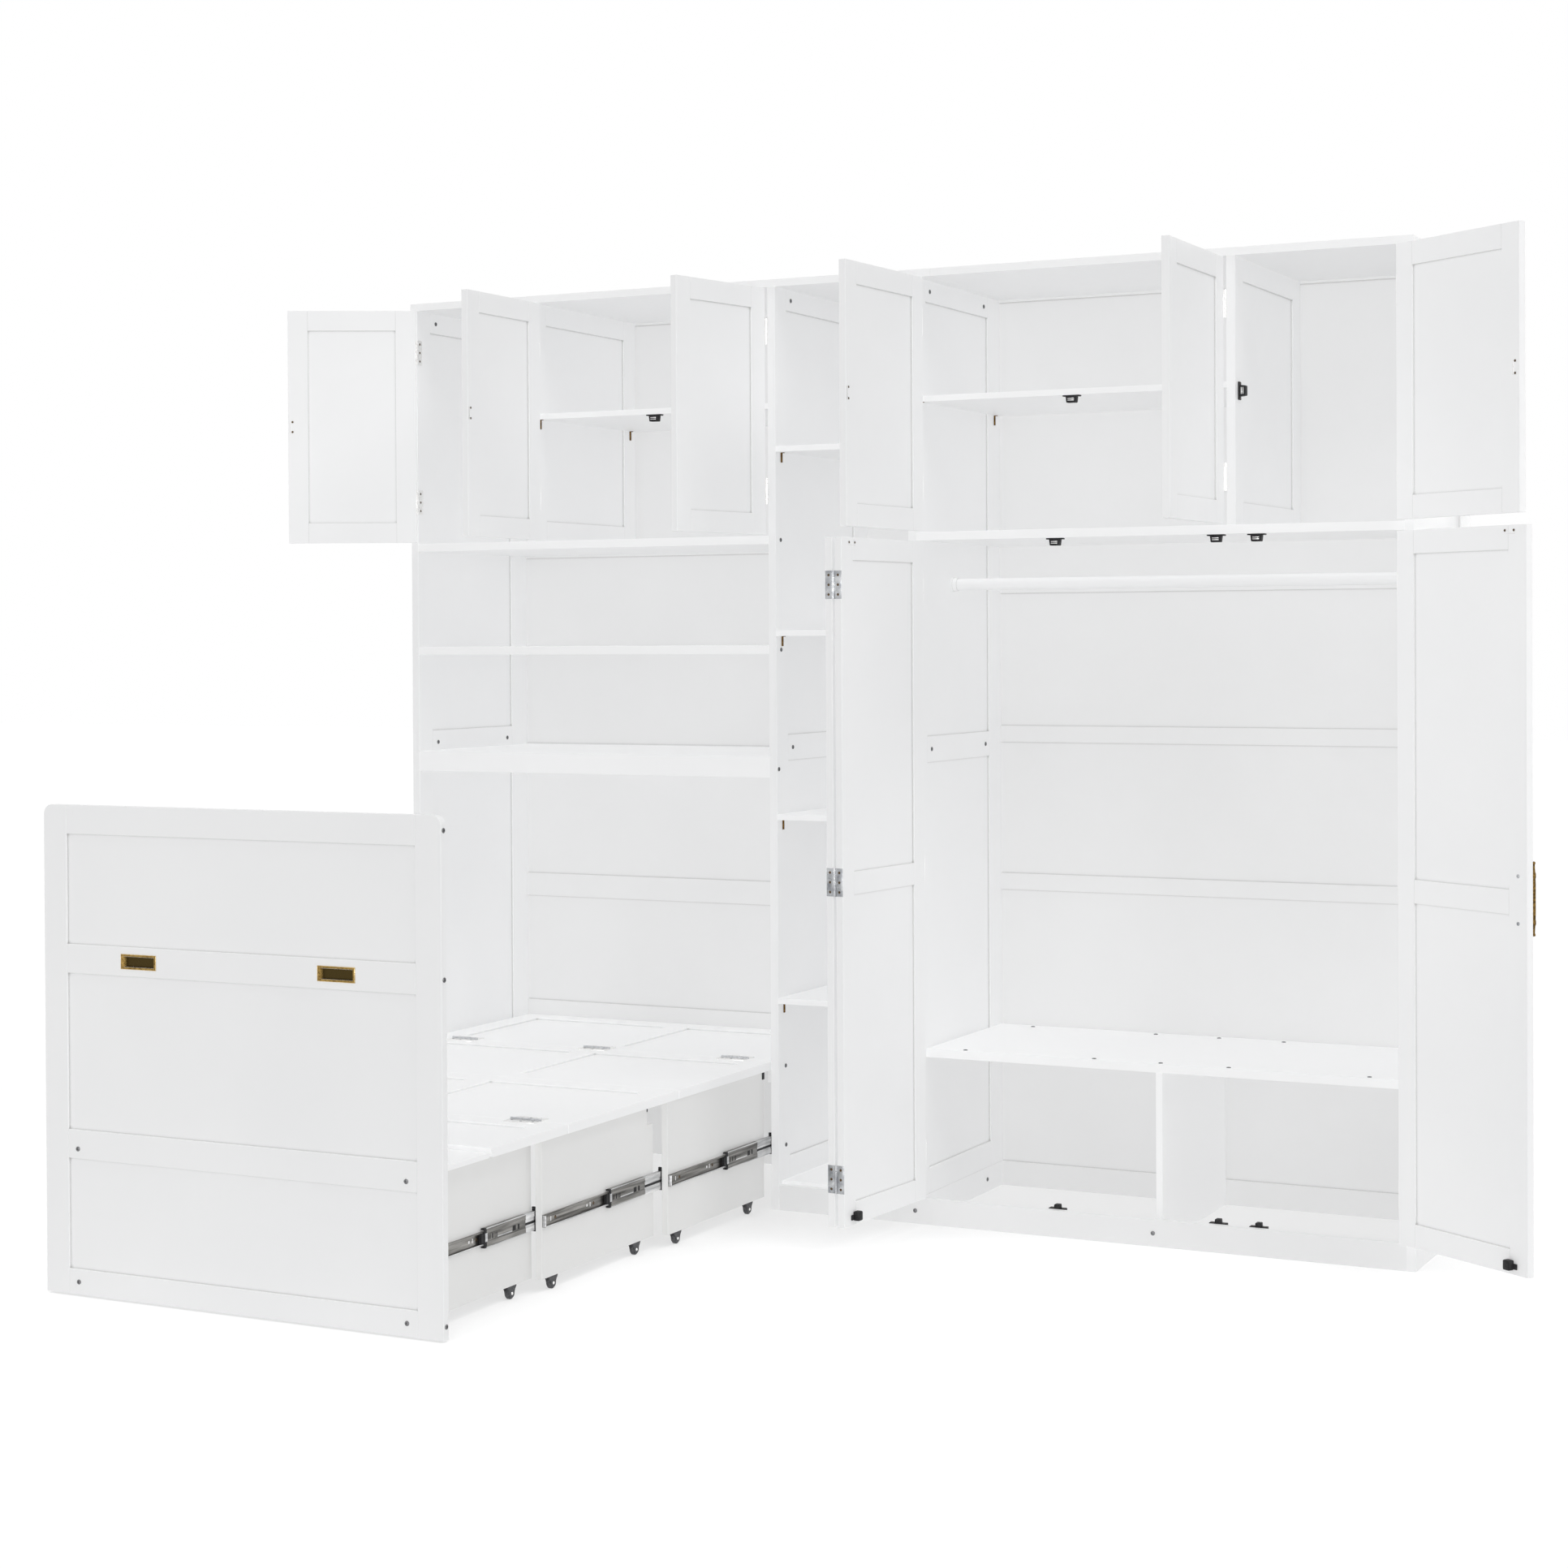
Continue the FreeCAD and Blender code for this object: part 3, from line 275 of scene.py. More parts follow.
def frame_and_panel(bm, low, high, across, stiles, spans, sink=FRAME_SINK):
    """Full-height stiles, rails between them, and a thinner panel in each opening up the height."""
    along = 1 - across

    def member(run, rise, thinner):
        first = [0.0, 0.0, rise[0]]
        last = [0.0, 0.0, rise[1]]
        first[across] = low[across] + thinner
        last[across] = high[across] - thinner
        first[along], last[along] = run
        board(bm, first, last)

    inner = (low[along] + stiles[0], high[along] - stiles[1])
    for run in ((low[along], inner[0]), (inner[1], high[along])):
        if run[1] - run[0] > 2 * ARRIS:
            member(run, (low[2], high[2]), 0.0)
    edges = [low[2]] + [z for span in spans for z in span] + [high[2]]
    for rail in zip(edges[0::2], edges[1::2]):
        if rail[1] - rail[0] > 2 * ARRIS:
            member(inner, rail, 0.0)
    for span in spans:
        member((max(inner[0] - TONGUE, low[along]), min(inner[1] + TONGUE, high[along])),
               (span[0] - TONGUE, span[1] + TONGUE), sink)


def put_in(name, bm, finish, body, *nodes, slot=None, crease=None):
    """Make the finished piece, let it ride on its body and stand for its nodes."""
    mesh = bpy.data.meshes.new(name)
    bm.to_mesh(mesh)
    bm.free()
    crease = finish.crease if crease is None else crease
    if crease != FLAT:
        mesh.shade_smooth()
        mesh.set_sharp_from_angle(angle=math.radians(crease))
    mesh.materials.append(finish.material)
    piece = bpy.data.objects.new(name, mesh)
    bpy.context.scene.collection.objects.link(piece)
    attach(piece, body)
    if nodes:
        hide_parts(*nodes)


for upright in ("left_side_panel", "bed_tower_divider", "tower_wardrobe_panel", "right_side_panel"):
    low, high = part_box(upright)
    spans = [(UPRIGHT_FOOT_RAIL, UPRIGHT_MID_RAIL[0]), (UPRIGHT_MID_RAIL[1], high.z - UPRIGHT_TOP_RAIL)]
    bm = bmesh.new()
    if upright == "tower_wardrobe_panel":
        board(bm, (low.x, low.y + PLINTH_DEPTH, low.z), (high.x, high.y, PLINTH_HEIGHT))
        low.z = PLINTH_HEIGHT
    frame_and_panel(bm, low, high, 0, (UPRIGHT_STILE, UPRIGHT_REAR_STILE), spans)
    put_in(upright + "_boards", bm, paint, "cabinet", upright)

# Top and plinth: two plain top boards that meet over the wardrobe's left wall, and one low board
# along the floor under the tower and the wardrobe.
TOP_SEAM_FROM_WALL = 0.038

low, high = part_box("top_boards")
top_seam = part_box("tower_wardrobe_panel")[1].x + TOP_SEAM_FROM_WALL
# The tops, shelves, desk and deck take a paler copy of the white paint, as painted light.
pale_shelf_paint = painted("shelf_paint_paled_as_painted_light", (0.928, 0.930, 0.934), (0.950, 0.952, 0.955), (0.58, 0.58, 0.575),
                      (0.28, 0.38))
bm = bmesh.new()
board(bm, low, (top_seam, high.y, high.z))
board(bm, (top_seam, low.y, low.z), high)
put_in("top_board_pair", bm, pale_shelf_paint, "cabinet", "top_boards")
# The plinth takes a darker copy of the white paint, as painted shade.
shaded_plinth_paint = painted("plinth_paint_darkened_as_painted_shade", (0.824, 0.826, 0.829), (0.850, 0.852, 0.855), (0.52, 0.52, 0.515),
                       (0.30, 0.40))
bm = bmesh.new()
board(bm, *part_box("plinth"))
put_in("plinth_board", bm, shaded_plinth_paint, "cabinet", "plinth")

# Backs: three wide panels of painted board behind the bed bay, the tower and the wardrobe, thin
# fields between rails that run from wall to wall, in a darker copy of the white paint as painted shade.
# Shelves and floors hide most of the rails.
BACK_FIELDS = {
    "bed_bay_back": [(0.389, 0.670), (0.730, 1.028), (1.080, 1.578), (1.608, 2.186)],
    "tower_back": [(0.120, 1.068), (1.128, 2.186)],
    "wardrobe_back": [(0.060, 0.341), (0.395, 0.735), (0.775, 1.100), (1.140, 1.468), (1.608, 2.186)],
}

# A darker copy of the white paint: painted shade on the backs.
shaded_back_paint = painted("back_paint_darkened_as_painted_shade", (0.796, 0.797, 0.798), (0.822, 0.823, 0.824), (0.50, 0.50, 0.495),
                     (0.34, 0.44))
for back, spans in BACK_FIELDS.items():
    low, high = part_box(back)
    bm = bmesh.new()
    frame_and_panel(bm, low, high, 1, (0.0, 0.0), spans)
    put_in(back + "_boards", bm, shaded_back_paint, "cabinet", back)

# Fixed boards and shelves: painted boards between the uprights, most of them plain, with framed
# dividers in the upper cabinets and a deep front rail under the desk top.
DIVIDER_STILE = 0.060
DIVIDER_RAIL = 0.050
DESK_TOP_THICK = 0.020
DESK_RAIL_THICK = 0.020
WELD = 1e-5


def box_of(points):
    """Lowest and highest corners of a set of points."""
    return tuple(Vector(pick(point[i] for point in points) for i in range(3)) for pick in (min, max))


def solid_boxes(node):
    """Lowest and highest corners of each separate solid in a node of the frame."""
    bm = bmesh.new()
    bm.from_mesh(frame["nodes"][node].data)
    bmesh.ops.remove_doubles(bm, verts=bm.verts, dist=WELD)
    boxes = []
    seen = set()
    for start in bm.verts:
        if start in seen:
            continue
        seen.add(start)
        solid = [start]
        for vert in solid:
            for edge in vert.link_edges:
                other = edge.other_vert(vert)
                if other not in seen:
                    seen.add(other)
                    solid.append(other)
        boxes.append(box_of([vert.co for vert in solid]))
    bm.free()
    return boxes


for plain in ("cabinet_floors", "cabinet_shelves", "bay_open_shelf", "tower_shelves", "bench_shelf",
              "bench_divider", "bay_cleats"):
    bm = bmesh.new()
    for low, high in solid_boxes(plain):
        board(bm, low, high)
    put_in(plain + "_boards", bm, pale_shelf_paint, "cabinet", plain)
bm = bmesh.new()
for low, high in solid_boxes("cabinet_dividers"):
    spans = [(low.z + DIVIDER_RAIL, high.z - DIVIDER_RAIL)]
    frame_and_panel(bm, low, high, 0, (DIVIDER_STILE, DIVIDER_STILE), spans)
put_in("cabinet_divider_boards", bm, paint, "cabinet", "cabinet_dividers")
low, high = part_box("desk_board")
bm = bmesh.new()
board(bm, low, (high.x, low.y + DESK_RAIL_THICK, high.z))
board(bm, (low.x, low.y + DESK_RAIL_THICK, high.z - DESK_TOP_THICK), high)
put_in("desk_boards", bm, pale_shelf_paint, "cabinet", "desk_board")

# Doors: painted frames with a sunk panel, six short ones on the upper cabinets and three tall leaves
# on the wardrobe. Each is made shut and then turned about its hinge pin to stand open.
DOOR_STILE = 0.050
LEAF_MID_RAIL = (0.792, 0.842)

joints = {joint["name"]: joint for joint in frame["joints"]}


def turned_by(name, degrees):
    """The turn of one joint away from rest."""
    pin = Matrix.Translation(Vector(joints[name]["pos_m"]))
    turn = Matrix.Rotation(math.radians(degrees), 4, Vector(joints[name]["axis"]))
    return pin @ turn @ pin.inverted()


def shut_by(*names):
    """The turn that shuts a door, through each joint from the carcass outwards."""
    turn = Matrix.Identity(4)
    for name in names:
        turn = turn @ turned_by(name, joints[name]["range_deg"][0])
    return turn


def shut_box(node, shut):
    """Lowest and highest corners of a door's node when it is shut."""
    return box_of([shut @ vert.co for vert in frame["nodes"][node].data.vertices])


door_shut = {"upper_door_%d" % number: shut_by("upper_door_%d_swing" % number) for number in range(1, 7)}
door_shut["wardrobe_leaf_a"] = shut_by("leaf_a_swing")
door_shut["wardrobe_leaf_b"] = shut_by("leaf_a_swing", "leaf_b_fold")
door_shut["wardrobe_leaf_c"] = shut_by("leaf_c_swing")
door_body = {door: door.replace("wardrobe_", "") for door in door_shut}

for door, shut in door_shut.items():
    low, high = shut_box(door, shut)
    edges = [low.z + DOOR_STILE, high.z - DOOR_STILE]
    if "leaf" in door:
        edges[1:1] = LEAF_MID_RAIL
    bm = bmesh.new()
    frame_and_panel(bm, low, high, 1, (DOOR_STILE, DOOR_STILE), list(zip(edges[0::2], edges[1::2])))
    bmesh.ops.transform(bm, matrix=shut.inverted(), verts=bm.verts)
    put_in(door + "_boards", bm, paint, door_body[door], door)

# Hanging rod: a white-coated tube across the wardrobe, carried at each end in a turned cup that is
# screwed to the wall.
ROD_CUP_R = 0.0172
ROD_CUP_LIP = 0.0030
ROD_CUP_DEPTH = 0.013
ROD_CUP_WALL = (0.0020, 0.0015)
FINE_WELD = 1e-6
CREASE = 35.0


def pattern(bm):
    """Keep a small shape as a pattern for stamping."""
    mesh = bpy.data.meshes.new("pattern")
    bm.to_mesh(mesh)
    bm.free()
    return mesh


def outward(bm):
    """Turn every face of a closed shape outwards."""
    bmesh.ops.recalc_face_normals(bm, faces=bm.faces[:])


def lathe(profile, sides, ring=False):
    """A part turned from (radius, height) points; a ring's profile closes on itself."""
    bm = bmesh.new()
    verts = [bm.verts.new((radius, 0.0, height)) for radius, height in profile]
    pairs = list(zip(verts, verts[1:])) + ([(verts[-1], verts[0])] if ring else [])
    for pair in pairs:
        bm.edges.new(pair)
    bmesh.ops.spin(bm, geom=bm.verts[:] + bm.edges[:], cent=(0.0, 0.0, 0.0), axis=(0.0, 0.0, 1.0),
                   angle=2 * math.pi, steps=sides, use_merge=True)
    bmesh.ops.remove_doubles(bm, verts=bm.verts[:], dist=FINE_WELD)
    outward(bm)
    return pattern(bm)


def stamp(bm, mesh, place):
    """Add one copy of a pattern at a place."""
    copy = mesh.copy()
    copy.transform(place)
    if place.determinant() < 0.0:
        copy.flip_normals()
    bm.from_mesh(copy)
    bpy.data.meshes.remove(copy)


def facing(point, toward):
    """A place whose own upward axis points the given way."""
    turn = Vector(toward).to_track_quat("Z", "Y").to_matrix().to_4x4()
    return Matrix.Translation(Vector(point)) @ turn


low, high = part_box("hanging_rod")
rod_y = (low.y + high.y) / 2
rod_z = (low.z + high.z) / 2
rod_r = (high.z - low.z) / 2
rod_tube = lathe([(0.0, 0.0), (rod_r, 0.0), (rod_r, high.x - low.x), (0.0, high.x - low.x)], sides=48)
rod_cup = lathe([(rod_r, 0.0), (ROD_CUP_R, 0.0), (ROD_CUP_R, ROD_CUP_LIP),
                 (rod_r + ROD_CUP_WALL[0], ROD_CUP_LIP), (rod_r + ROD_CUP_WALL[1], ROD_CUP_DEPTH),
                 (rod_r, ROD_CUP_DEPTH)], sides=40, ring=True)
bm = bmesh.new()
stamp(bm, rod_tube, facing((low.x, rod_y, rod_z), (1, 0, 0)))
stamp(bm, rod_cup, facing((low.x, rod_y, rod_z), (1, 0, 0)))
stamp(bm, rod_cup, facing((high.x, rod_y, rod_z), (-1, 0, 0)))
put_in("hanging_rod_and_cups", bm, paint, "cabinet", "hanging_rod", crease=CREASE)

# Shelf pins: bent angles of aged brass that carry the shelves, one leg down the wall in a routed hole and
# one under the shelf's end.
PIN_ROUND = 0.0011
PIN_CREASE = 50.0
SHARP = 30.0
NEARLY_FLAT = 1.0
GRAIN_RELIEF = (0.0002, 0.15)


def metal(name, slot, scale, dark, pale, polish, grain=None):
    """Bare or plated metal, cloudy in tone and polish, with a fine grain where asked."""
    finish = Finish(name, slot, CREASE)
    tone = finish.cloudy(scale, detail=3.0)
    finish.plug(finish.shader, Base_Color=finish.blended(tone, dark, pale),
                Roughness=finish.between(tone, *polish), Metallic=1.0)
    if grain:
        finish.plug(finish.shader, Normal=finish.raised(finish.cloudy(grain), *GRAIN_RELIEF))
    return finish


brass = metal("aged_brass", "aged_brass",
              160.0, (0.046, 0.024, 0.005), (0.21, 0.115, 0.028), (0.42, 0.24), 900.0)


def sharp_edges(bm, degrees=SHARP):
    """The edges whose two faces meet at more than a given angle."""
    return [edge for edge in bm.edges if edge.calc_face_angle(0.0) > math.radians(degrees)]


def eased_copy(node, arris):
    """A node's own shape as clean faces, with its sharp edges taken off."""
    bm = bmesh.new()
    bm.from_mesh(frame["nodes"][node].data)
    bmesh.ops.remove_doubles(bm, verts=bm.verts[:], dist=WELD)
    bmesh.ops.dissolve_limit(bm, angle_limit=math.radians(NEARLY_FLAT), verts=bm.verts[:], edges=bm.edges[:])
    ease(bm, sharp_edges(bm), arris, clamp=True)
    return bm


put_in("bent_shelf_pins", eased_copy("shelf_pins", PIN_ROUND), brass, "cabinet", "shelf_pins",
       crease=PIN_CREASE)

# Frame bolts: plain steel socket heads that sit on the paint and draw the frames together, the same
# pattern on the carcass and on the footboard.
BOLT_R = 0.0050
BOLT_HEAD = 0.0015
BOLT_SOCKET = 0.0026
BOLT_SIDES = 24
HEX_SIDE = 60.0

bolt_steel = metal("plain_bolt_steel", "bolt_steel",
                   420.0, (0.12, 0.12, 0.125), (0.27, 0.27, 0.275), (0.30, 0.46))
bolt_head = lathe([(0.0, BOLT_HEAD * 0.1), (BOLT_SOCKET, BOLT_HEAD * 0.1), (BOLT_SOCKET, BOLT_HEAD),
                   (BOLT_R * 0.86, BOLT_HEAD), (BOLT_R, BOLT_HEAD * 0.7), (BOLT_R, 0.0), (0.0, 0.0)],
                  sides=BOLT_SIDES)
for vert in bolt_head.vertices:
    step = math.degrees(math.atan2(vert.co.y, vert.co.x)) % HEX_SIDE - HEX_SIDE / 2
    if abs(vert.co.xy.length - BOLT_SOCKET) < WELD:
        vert.co.xy *= math.cos(math.radians(HEX_SIDE / 2)) / math.cos(math.radians(step))
bay_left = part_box("bay_open_shelf")[0].x
for node, body in (("cabinet_bolts", "cabinet"), ("footboard_bolts", "section_1")):
    bm = bmesh.new()
    for low, high in solid_boxes(node):
        size = high - low
        thin = min(range(3), key=lambda axis: size[axis])
        on_left_edge = node == "footboard_bolts" and thin == 0 and low.x < bay_left + BOLT_R
        away = Vector((0, 0, 0))
        away[thin] = -1.0 if thin == 1 or on_left_edge else 1.0
        stamp(bm, bolt_head, facing((low + high) / 2 - away * BOLT_HEAD / 2, away))
    put_in(node + "_sockets", bm, bolt_steel, body, node)

# Butt hinges: zinc-plated, two bent leaves round one pin, each leaf held by three bronzed screws. One leaf
# stays on the carcass and the other goes with the door's edge. The bifold pair is hinged the same way.
HINGE_LONG = 0.062
HINGE_PIN_R = 0.0030
HINGE_KNUCKLES = 5
HINGE_SLIT = 0.0003
HINGE_LEAF = 0.0008
HINGE_LEAF_EDGE = 0.00025
FRAME_LEAF_REACH = 0.0255
DOOR_LEAF_REACH = 0.0205
HINGE_PIN_OUT = 0.0010
OUTER_KNUCKLES = (0, 2, 4)
INNER_KNUCKLES = (1, 3)
SCREW_R = 0.0030
SCREW_PROUD = 0.00014
SCREW_PITCH = 0.0215
SCREW_ALONG_LEAF = 0.58

zinc = metal("zinc_plated_steel", "zinc_steel",
             70.0, (0.27, 0.28, 0.30), (0.58, 0.59, 0.60), (0.34, 0.22), 1400.0)
bright = metal("bright_zinc_plate", "zinc_steel",
               180.0, (0.82, 0.815, 0.805), (0.96, 0.955, 0.945), (0.36, 0.24))
bronze = metal("bronzed_screw", "aged_brass",
               700.0, (0.045, 0.031, 0.019), (0.16, 0.115, 0.075), (0.44, 0.28))


def turned_knuckle(radius, half, sides):
    """One knuckle of a hinge, with its two rims eased."""
    rim = radius - HINGE_SLIT
    flank = half - HINGE_SLIT
    return lathe([(0.0, -half), (rim, -half), (radius, -flank), (radius, flank), (rim, half), (0.0, half)],
                 sides)


knuckle_long = HINGE_LONG / HINGE_KNUCKLES
knuckle = turned_knuckle(HINGE_PIN_R, (knuckle_long - HINGE_SLIT) / 2, sides=20)
screw_head = lathe([(0.0, SCREW_PROUD * 0.3), (SCREW_R * 0.3, SCREW_PROUD * 0.3),
                    (SCREW_R * 0.36, SCREW_PROUD), (SCREW_R * 0.8, SCREW_PROUD),
                    (SCREW_R, SCREW_PROUD * 0.2), (SCREW_R, -SCREW_R * 0.1), (0.0, -SCREW_R * 0.1)],
                   sides=16)


def hinge_half(side, reach, knuckles):
    """One leaf and its knuckles about an upright pin; side is -1 for the frame's leaf."""
    bm = bmesh.new()
    near, far = sorted((side * (HINGE_PIN_OUT - HINGE_LEAF), side * HINGE_PIN_OUT))
    board(bm, (near, 0.0, -HINGE_LONG / 2), (far, reach, HINGE_LONG / 2), HINGE_LEAF_EDGE)
    for i in knuckles:
        stamp(bm, knuckle, Matrix.Translation((0.0, 0.0, knuckle_long * (i + 0.5) - HINGE_LONG / 2)))
    return pattern(bm)


def hinge_screws(side, reach):
    """The three screws of one leaf, on the face that shows when the door is open."""
    bm = bmesh.new()
    for step in (-1, 0, 1):
        point = (side * (HINGE_PIN_OUT - HINGE_LEAF), reach * SCREW_ALONG_LEAF, step * SCREW_PITCH)
        stamp(bm, screw_head, facing(point, (-side, 0, 0)))
    return pattern(bm)


frame_leaf = hinge_half(-1, FRAME_LEAF_REACH, OUTER_KNUCKLES)
frame_leaf_screws = hinge_screws(-1, FRAME_LEAF_REACH)
bifold_leaf = hinge_half(-1, DOOR_LEAF_REACH, OUTER_KNUCKLES)
bifold_leaf_screws = hinge_screws(-1, DOOR_LEAF_REACH)
door_leaf = hinge_half(1, DOOR_LEAF_REACH, INNER_KNUCKLES)
door_leaf_screws = hinge_screws(1, DOOR_LEAF_REACH)
door_steel = {door: bmesh.new() for door in door_shut}
door_screws = {door: bmesh.new() for door in door_shut}


def hang(door, place, carried_by, leaves, leaf, screws, leaf_screws):
    """Put one hinge in: a leaf on what carries the door, and the other on the door."""
    stamp(leaves, leaf, carried_by @ place)
    stamp(screws, leaf_screws, carried_by @ place)
    stamp(door_steel[door], door_leaf, door_shut[door].inverted() @ place)
    stamp(door_screws[door], door_leaf_screws, door_shut[door].inverted() @ place)


carcass_leaves = bmesh.new()
carcass_leaf_screws = bmesh.new()
for door, shut in door_shut.items():
    if door == "wardrobe_leaf_b":
        continue
    low, high = shut_box(door, shut)
    joint = joints[door_body[door] + "_swing"]
    pin = Vector(joint["pos_m"])
    left_or_right = Matrix.Diagonal((-joint["axis"][2], 1.0, 1.0, 1.0))
    for hinge_low, hinge_high in solid_boxes("door_hinges"):
        z = (hinge_low.z + hinge_high.z) / 2
        if hinge_low.x <= pin.x <= hinge_high.x and low.z < z < high.z:
            hang(door, Matrix.Translation((pin.x, pin.y, z)) @ left_or_right, Matrix.Identity(4),
                 carcass_leaves, frame_leaf, carcass_leaf_screws, frame_leaf_screws)
put_in("carcass_hinge_leaves", carcass_leaves, bright, "cabinet", "door_hinges")
put_in("carcass_hinge_screws", carcass_leaf_screws, bronze, "cabinet")
bifold_leaves = bmesh.new()
bifold_screws = bmesh.new()
shut_a = door_shut["wardrobe_leaf_a"]
fold_pin = shut_a @ Vector(joints["leaf_b_fold"]["pos_m"])
for low, high in solid_boxes("bifold_hinges"):
    place = Matrix.Translation((fold_pin.x, fold_pin.y, (low.z + high.z) / 2))
    hang("wardrobe_leaf_b", place, shut_a.inverted(), bifold_leaves, bifold_leaf, bifold_screws,
         bifold_leaf_screws)
put_in("bifold_hinge_leaves", bifold_leaves, zinc, "leaf_a", "bifold_hinges")
put_in("bifold_hinge_screws", bifold_screws, bronze, "leaf_a")

# Strikes: a hair-thin steel strip beside two screws, inside each door near its free edge, where the magnets
# take hold. It lies on a bronzed bed a little larger than itself, whose dark rim round the strip is painted
# shade. It stands upright at mid height on the short doors and lies across the top of the tall leaves.
# The handle's two screw heads show on the same face of leaf C.
STRIKE_HALF = 0.0135
STRIKE_OFF_CENTRE = 0.0055
STRIKE_TAPER = math.radians(15.0)
STRIKE_THICK = 0.0009
STRIKE_FROM_EDGE = 0.0110
LEAF_STRIKE_FROM_EDGE = 0.046
LEAF_STRIKE_DROP = 0.0110
STRIKE_SCREW_PITCH = 0.0125
STRIKE_SHADE_RIM = (1.20, 1.06, 0.30, 1.0)
HANDLE_SCREW_PITCH = 0.048
HANDLE_FROM_EDGE = 0.024
HANDLE_HEIGHT = 0.823
SMALL_SCREW = Matrix.Scale(0.9, 4)
HANDLE_SCREW = Matrix.Scale(0.8, 4)
ACROSS = Matrix.Rotation(math.radians(90.0), 4, "Z")


def drawn_out(bm, outline, by):
    """A flat outline drawn out into a bar."""
    grown = bmesh.ops.extrude_face_region(bm, geom=[bm.faces.new([bm.verts.new(point) for point in outline])])
    bmesh.ops.translate(bm, vec=by, verts=[part for part in grown["geom"]
                                           if isinstance(part, bmesh.types.BMVert)])


strike_tip = Vector((math.cos(STRIKE_TAPER), math.sin(STRIKE_TAPER))) * STRIKE_OFF_CENTRE
bm = bmesh.new()
drawn_out(bm, [(-STRIKE_OFF_CENTRE, STRIKE_HALF, 0.0), (-STRIKE_OFF_CENTRE, -STRIKE_HALF, 0.0),
               (-strike_tip.x, -STRIKE_HALF - strike_tip.y, 0.0)], (0.0, 0.0, STRIKE_THICK))
outward(bm)
strike = pattern(bm)


def free_edge(door, low, high):
    """A shut door's free edge, and which way is inward from it."""
    joint = joints[door_body[door] + ("_fold" if door == "wardrobe_leaf_b" else "_swing")]
    return (high.x, -1.0) if joint["axis"][2] < 0 else (low.x, 1.0)


for door, shut in door_shut.items():
    low, high = shut_box(door, shut)
    edge_x, inward = free_edge(door, low, high)
    inner_y = high.y
    if "leaf" in door:
        centre = Vector((edge_x + inward * LEAF_STRIKE_FROM_EDGE, inner_y, high.z - LEAF_STRIKE_DROP))
        place = facing(centre, (0, 1, 0)) @ ACROSS
    else:
        centre = Vector((edge_x + inward * STRIKE_FROM_EDGE, inner_y, (low.z + high.z) / 2))
        place = facing(centre, (0, 1, 0))
    lengthwise = (place.to_3x3() @ Vector((0, 1, 0))).normalized()
    strip = bmesh.new()
    stamp(strip, strike, shut.inverted() @ place)
    # The bronzed bed, a little larger than the strip, shows as a dark rim round it: painted shade.
    stamp(door_screws[door], strike, shut.inverted() @ place @ Matrix.Diagonal(STRIKE_SHADE_RIM))
    for end in (-1, 1):
        point = centre + lengthwise * end * STRIKE_SCREW_PITCH + Vector((0, STRIKE_THICK, 0))
        stamp(door_screws[door], screw_head, shut.inverted() @ facing(point, (0, 1, 0)) @ SMALL_SCREW)
    if door == "wardrobe_leaf_c":
        handle_screws = bmesh.new()
        for end in (-1, 1):
            point = (edge_x + inward * HANDLE_FROM_EDGE, inner_y, HANDLE_HEIGHT + end * HANDLE_SCREW_PITCH)
            stamp(handle_screws, bolt_head, shut.inverted() @ facing(point, (0, 1, 0)) @ HANDLE_SCREW)
        put_in("handle_screw_heads", handle_screws, zinc, "leaf_c")
    leaf_finish = zinc if door == "wardrobe_leaf_b" else bright
    put_in(door + "_strike", strip, bright, door_body[door])
    put_in(door + "_hinge_leaves", door_steel[door], leaf_finish, door_body[door])
    put_in(door + "_screws", door_screws[door], bronze, door_body[door])

# Magnetic catches: black moulded bodies on a two-eared foot, with two steel pole plates in the nose and
# a bronzed screw through each ear. They sit under the shelves and floor and on the dividers. Those behind
# the plinth are slimmer and stand on a packing block.
CATCH_FOOT = 0.0030
CATCH_FOOT_ROUND = 0.0012
CATCH_BODY_ROUND = 0.0014
CATCH_BODY_SHARE = 0.64
PLINTH_CATCH_SHARE = 0.36
CATCH_TAPER = 0.86
POLE_LONG = 0.0150
POLE_THICK = 0.0014
POLE_PROUD = 0.0004
POLE_DEEP = 0.004
POLE_ROUND = 0.0003
POLES_AT = (0.45, 0.68)
PLASTIC_SHINE = 0.15
GRIT_RELIEF = (0.0002, 0.2)


def moulded(name, slot, scale, dark, pale, polish, grit):
    """Moulded plastic, slightly mottled, with the fine texture of the mould."""
    finish = Finish(name, slot, CREASE)
    tone = finish.cloudy(scale, detail=3.0)
    finish.plug(finish.shader, Base_Color=finish.blended(tone, dark, pale),
                Roughness=finish.between(tone, *polish), Specular_IOR_Level=PLASTIC_SHINE,
                Normal=finish.raised(finish.cloudy(grit), *GRIT_RELIEF))
    return finish


black = moulded("black_moulded_plastic", "black_plastic",
                300.0, (0.012, 0.012, 0.013), (0.030, 0.030, 0.032), (0.38, 0.55), 1500.0)


def join(bm, part):
    """Add a part that was made on its own."""
    mesh = pattern(part)
    bm.from_mesh(mesh)
    bpy.data.meshes.remove(mesh)


def rounded_block(bm, low, high, round_by, taper=1.0):
    """A moulded block, narrower along its length at the top if asked, with rounded edges."""
    part = bmesh.new()
    verts = block(part, low, high)
    middle = (Vector(low) + Vector(high)) / 2
    bmesh.ops.scale(part, vec=(taper, 1.0, 1.0), verts=[vert for vert in verts if vert.co.z > middle.z],
                    space=Matrix.Translation(-middle))
    ease(part, part.edges[:], round_by)
    join(bm, part)


